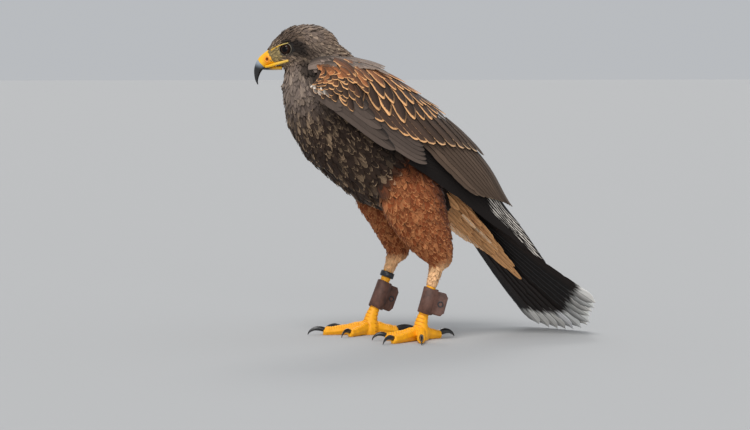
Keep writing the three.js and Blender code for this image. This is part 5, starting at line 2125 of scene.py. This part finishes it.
@dataclass
class Worn:
    """The leather anklets and the ring."""

    frame: BodyFrame
    finishes: dict[str, Material]

    BOTTOM, TOP = 0.83, 0.46
    INNER, OUTER = 6.4, 8.0
    FLANGE = 13
    TURNS = {"left": -20, "right": 10}

    def build(self) -> None:
        """Makes both anklets and the ring."""
        for leg in LEGS:
            self._anklet(leg)
        self._ring(LEGS[1])

    def _tube(self, profile: list[tuple[float, float]], wave: float = 0) -> BMesh:
        """A closed round band from a closed profile of radius and height."""
        shape = bmesh.new()
        verts = [shape.verts.new((radius, 0, height)) for radius, height in profile]
        edges = [shape.edges.new((a, b)) for a, b in zip(verts, verts[1:] + verts[:1])]
        bmesh.ops.spin(
            shape, geom=verts + edges, axis=(0, 0, 1), angle=2 * math.pi, steps=64, use_merge=True
        )
        bmesh.ops.remove_doubles(shape, verts=shape.verts, dist=0.001)
        for vert in shape.verts:
            angle = math.atan2(vert.co.y, vert.co.x)
            vert.co.z += wave * math.sin(2 * angle + 0.6)
        return shape

    def _finish(self, shape: BMesh, name: str, place: Matrix, finish: str) -> Object:
        """A worn piece, moved to the leg and given the finish of that name."""
        mesh = mesh_of(shape, name)
        set_points(mesh, self.frame.out(through(points_of(mesh), place)))
        return new_object(name, mesh, self.finishes[finish], finish)

    def _anklet(self, leg: Leg) -> None:
        """A leather band pinched into a doubled tab that an eyelet pierces."""
        height = leg.length() * (self.BOTTOM - self.TOP)
        place = leg.shank(self.BOTTOM, self.TURNS[leg.name]) @ Matrix.Translation((0.7, 0, 0))
        soft = 0.5
        inner, outer = self.INNER, self.OUTER
        profile = [
            (inner, soft), (inner + soft, 0), (outer - soft, 0), (outer, soft), (outer - 0.15, height * 0.5),
            (outer, height - soft), (outer - soft, height), (inner + soft, height), (inner, height - soft),
            (inner, height * 0.5),
        ]
        band = self._finish(self._tube(profile, wave=0.5), f"anklet_band_{leg.name}", place, "leather")
        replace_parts(band, f"anklet_{leg.name}")
        for side in (1, -1):
            tab = Slab(18, 14).build(lambda x, t, over: self._tab_point(x, t, over, side, height))
            self._finish(tab, f"anklet_tab_{leg.name}_{'a' if side > 0 else 'b'}", place, "leather")
        half = [(2.0, 2.3), (2.9, 2.5), (3.1, 2.2), (2.9, 1.9), (2.2, 1.7)]
        eyelet = [(radius, -z) for radius, z in half] + half[::-1]
        middle = Matrix.Translation((self.OUTER + self.FLANGE * 0.42, 0, height / 2))
        turn = middle @ Matrix.Rotation(math.pi / 2, 4, "X")
        self._finish(self._tube(eyelet), f"eyelet_{leg.name}", place @ turn, "ring")

    def _tab_point(self, x: Array, t: Array, over: Array, side: int, height: float) -> Array:
        """Points of one leaf of the tab: x away from the leg, t up it."""
        out = blend(self.INNER * 0.72, self.INNER + self.FLANGE, x)
        spread = 3.6 * (1 - ramp(x, 0, 0.45)) + 0.25 + 0.5 * np.sin(3 * x + t) * x
        middle = height / 2
        up = middle + (blend(1.2, height - 1.2, t) - middle) * (1 - 0.3 * ramp(x, 0.75, 1.0))
        y = side * (spread + 1.35 * over)
        return np.stack([out, y, up], axis=1)

    def _ring(self, leg: Leg) -> None:
        """The plain black ring."""
        profile = [(5.4, 0.4), (5.8, 0), (7.0, 0), (7.4, 0.4), (7.4, 5.6), (7.0, 6), (5.8, 6), (5.4, 5.6)]
        band = self._finish(self._tube(profile), "ring_band", leg.shank(0.4, 0), "ring")
        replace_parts(band, "leg_ring")


@dataclass(frozen=True)
class LeatherFinish:
    """Worn leather: creases and pores over a broad mottle."""

    name: str
    roughness: float = 0.6

    def build(self) -> Material:
        """The finish as a material."""
        material, tree, shader = start_material(self.name, {"Roughness": self.roughness})
        place = tree.add("ShaderNodeTexCoord").outputs["Object"]
        broad, crease = tree.noise(place, 160, 4), tree.noise(place, 900, 3)
        tone = tree.mix(broad.step(0.3, 0.7), Bare.LEATHER.rgb * 0.6, Bare.LEATHER.rgb * 1.25)
        tree.feed(shader, "Base Color", tree.mix(crease * 0.4, tone, (0.02, 0.012, 0.01)))
        bump(tree, shader, crease + broad, 0.5, 0.0005)
        return material


@dataclass(frozen=True)
class RingFinish:
    """A dark smooth ring with fine wear."""

    name: str
    roughness: float = 0.35

    def build(self) -> Material:
        """The finish as a material."""
        material, tree, shader = start_material(self.name, {"Roughness": self.roughness})
        wear = tree.noise(tree.add("ShaderNodeTexCoord").outputs["Object"], 500, 4)
        tree.feed(shader, "Base Color", tree.mix(wear, Bare.RING.rgb * 0.5, Bare.RING.rgb * 1.6))
        bump(tree, shader, wear, 0.15, 0.0003)
        return material


# The stage


@dataclass
class Stage:
    """A pale floor, soft lights and the camera."""

    frame: BodyFrame
    right: Triple = (0.951, -0.309, 0.0)
    up: Triple = (0.0162, 0.0497, 0.9986)
    back: Triple = (-0.3086, -0.9497, 0.0523)
    aim: tuple[float, float] = (-26.25, 128.1)
    distance: float = 2950
    lens: float = 134.9

    def build(self) -> None:
        """Makes the floor, the lights, the world and the camera."""
        self._floor()
        self._world()
        target = self.frame.out(np.array(self.right) * self.aim[0] + np.array(self.up) * self.aim[1])
        self._sun("key", (-0.9, -1.2, 2.1), 1.7, 26, (1.0, 0.98, 0.95))
        self._sun("fill", (-0.5, -1.6, 0.2), 1.0, 40, (0.96, 0.98, 1.0))
        self._sun("rim", (0.6, 1.7, 1.5), 0.5, 20, (1.0, 0.99, 0.97))
        self._camera(target)

    def _floor(self) -> None:
        """A wide plain floor that isn't part of the bird."""
        shape = bmesh.new()
        bmesh.ops.create_grid(shape, x_segments=2, y_segments=2, size=60)
        floor = bpy.data.objects.new("floor", mesh_of(shape, "floor"))
        bpy.context.scene.collection.objects.link(floor)
        material, _, shader = start_material("floor_finish", {"Roughness": 0.9})
        shader.inputs["Base Color"].default_value = (0.455, 0.46, 0.465, 1)
        floor.data.materials.append(material)

    def _world(self) -> None:
        """An even pale sky."""
        world = bpy.data.worlds.new("studio")
        world.use_nodes = True
        sky = world.node_tree.nodes["Background"]
        sky.inputs[0].default_value = (0.88, 0.91, 0.95, 1)
        sky.inputs[1].default_value = 0.55
        bpy.context.scene.world = world

    def _sun(self, name: str, away: Triple, power: float, spread: float, tint: Triple) -> None:
        """A soft light from far off, from a direction and as wide as an angle in degrees."""
        data = bpy.data.lights.new(name, "SUN")
        data.angle = math.radians(spread)
        data.energy = power
        data.color = tint
        light = bpy.data.objects.new(name, data)
        light.rotation_euler = (-Vector(away)).to_track_quat("-Z", "Y").to_euler()
        bpy.context.scene.collection.objects.link(light)

    def _camera(self, target: Array) -> None:
        """The camera, at the photograph's angle and framing."""
        data = bpy.data.cameras.new("camera")
        data.lens = self.lens
        data.sensor_width = 36
        data.clip_start = 0.05
        camera = bpy.data.objects.new("camera", data)
        turn = Matrix((self.right, self.up, self.back)).transposed().to_4x4()
        place = Vector(target) + Vector(self.back) * self.distance * MM
        camera.matrix_world = Matrix.Translation(place) @ turn
        bpy.context.scene.collection.objects.link(camera)
        bpy.context.scene.camera = camera


def main() -> None:
    """Builds the bird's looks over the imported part."""
    logging.basicConfig(level=logging.INFO, format="%(message)s")
    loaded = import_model()
    frame = BodyFrame()
    groups = ShaderGroups()
    plan = BodyPlan()
    colours = CoatColours(plan)
    coat_finish = PlumageFinish("body_feathers", 34, 2.4, 0.2, crisp=1.8).build(groups)
    wing_finish = PlumageFinish("long_feathers", 110, 12, 0.3, tucked_shade=0.75).build(groups)
    skin_finish = SkinFinish("downy_skin", roughness=0.85).build(groups)
    bare = {
        "cere": SkinFinish("bare_skin", 0.42, relief=0.35, coat=0.15, contrast=0.3),
        "horn": SkinFinish("horn_finish", 0.28, fine=600, relief=0.08, coat=0.4, contrast=0.35),
        "eye": SkinFinish("eye_finish", 0.05, relief=0.0, contrast=0.1, specular=0.16),
        "scaly": SkinFinish("scaly_finish", 0.5, fine=1500, broad=260, relief=0.4, contrast=0.35),
    }
    finishes = {name: finish.build(groups) for name, finish in bare.items()}
    worn = {"leather": LeatherFinish("leather_finish").build(), "ring": RingFinish("ring_finish").build()}
    skin = Skin(frame, plan).build(loaded["nodes"], skin_finish)
    points = frame.back(points_of(skin.data))
    paint(skin.data, "tone", colours.at(points, np.random.default_rng(3))["base"] * 0.6)
    Coat(plan, colours, frame).grow(skin, coat_finish)
    Wings(frame, wing_finish, skin_finish, tree_of(skin.data, frame)).build()
    Tail(frame, wing_finish, coat_finish, skin_finish).build()
    HeadParts(frame, finishes).build()
    Feet(frame, finishes).build(loaded["nodes"])
    Worn(frame, worn).build()
    Stage(frame).build()
    bpy.context.scene.view_settings.view_transform = "Standard"


if __name__ == "__main__":
    main()
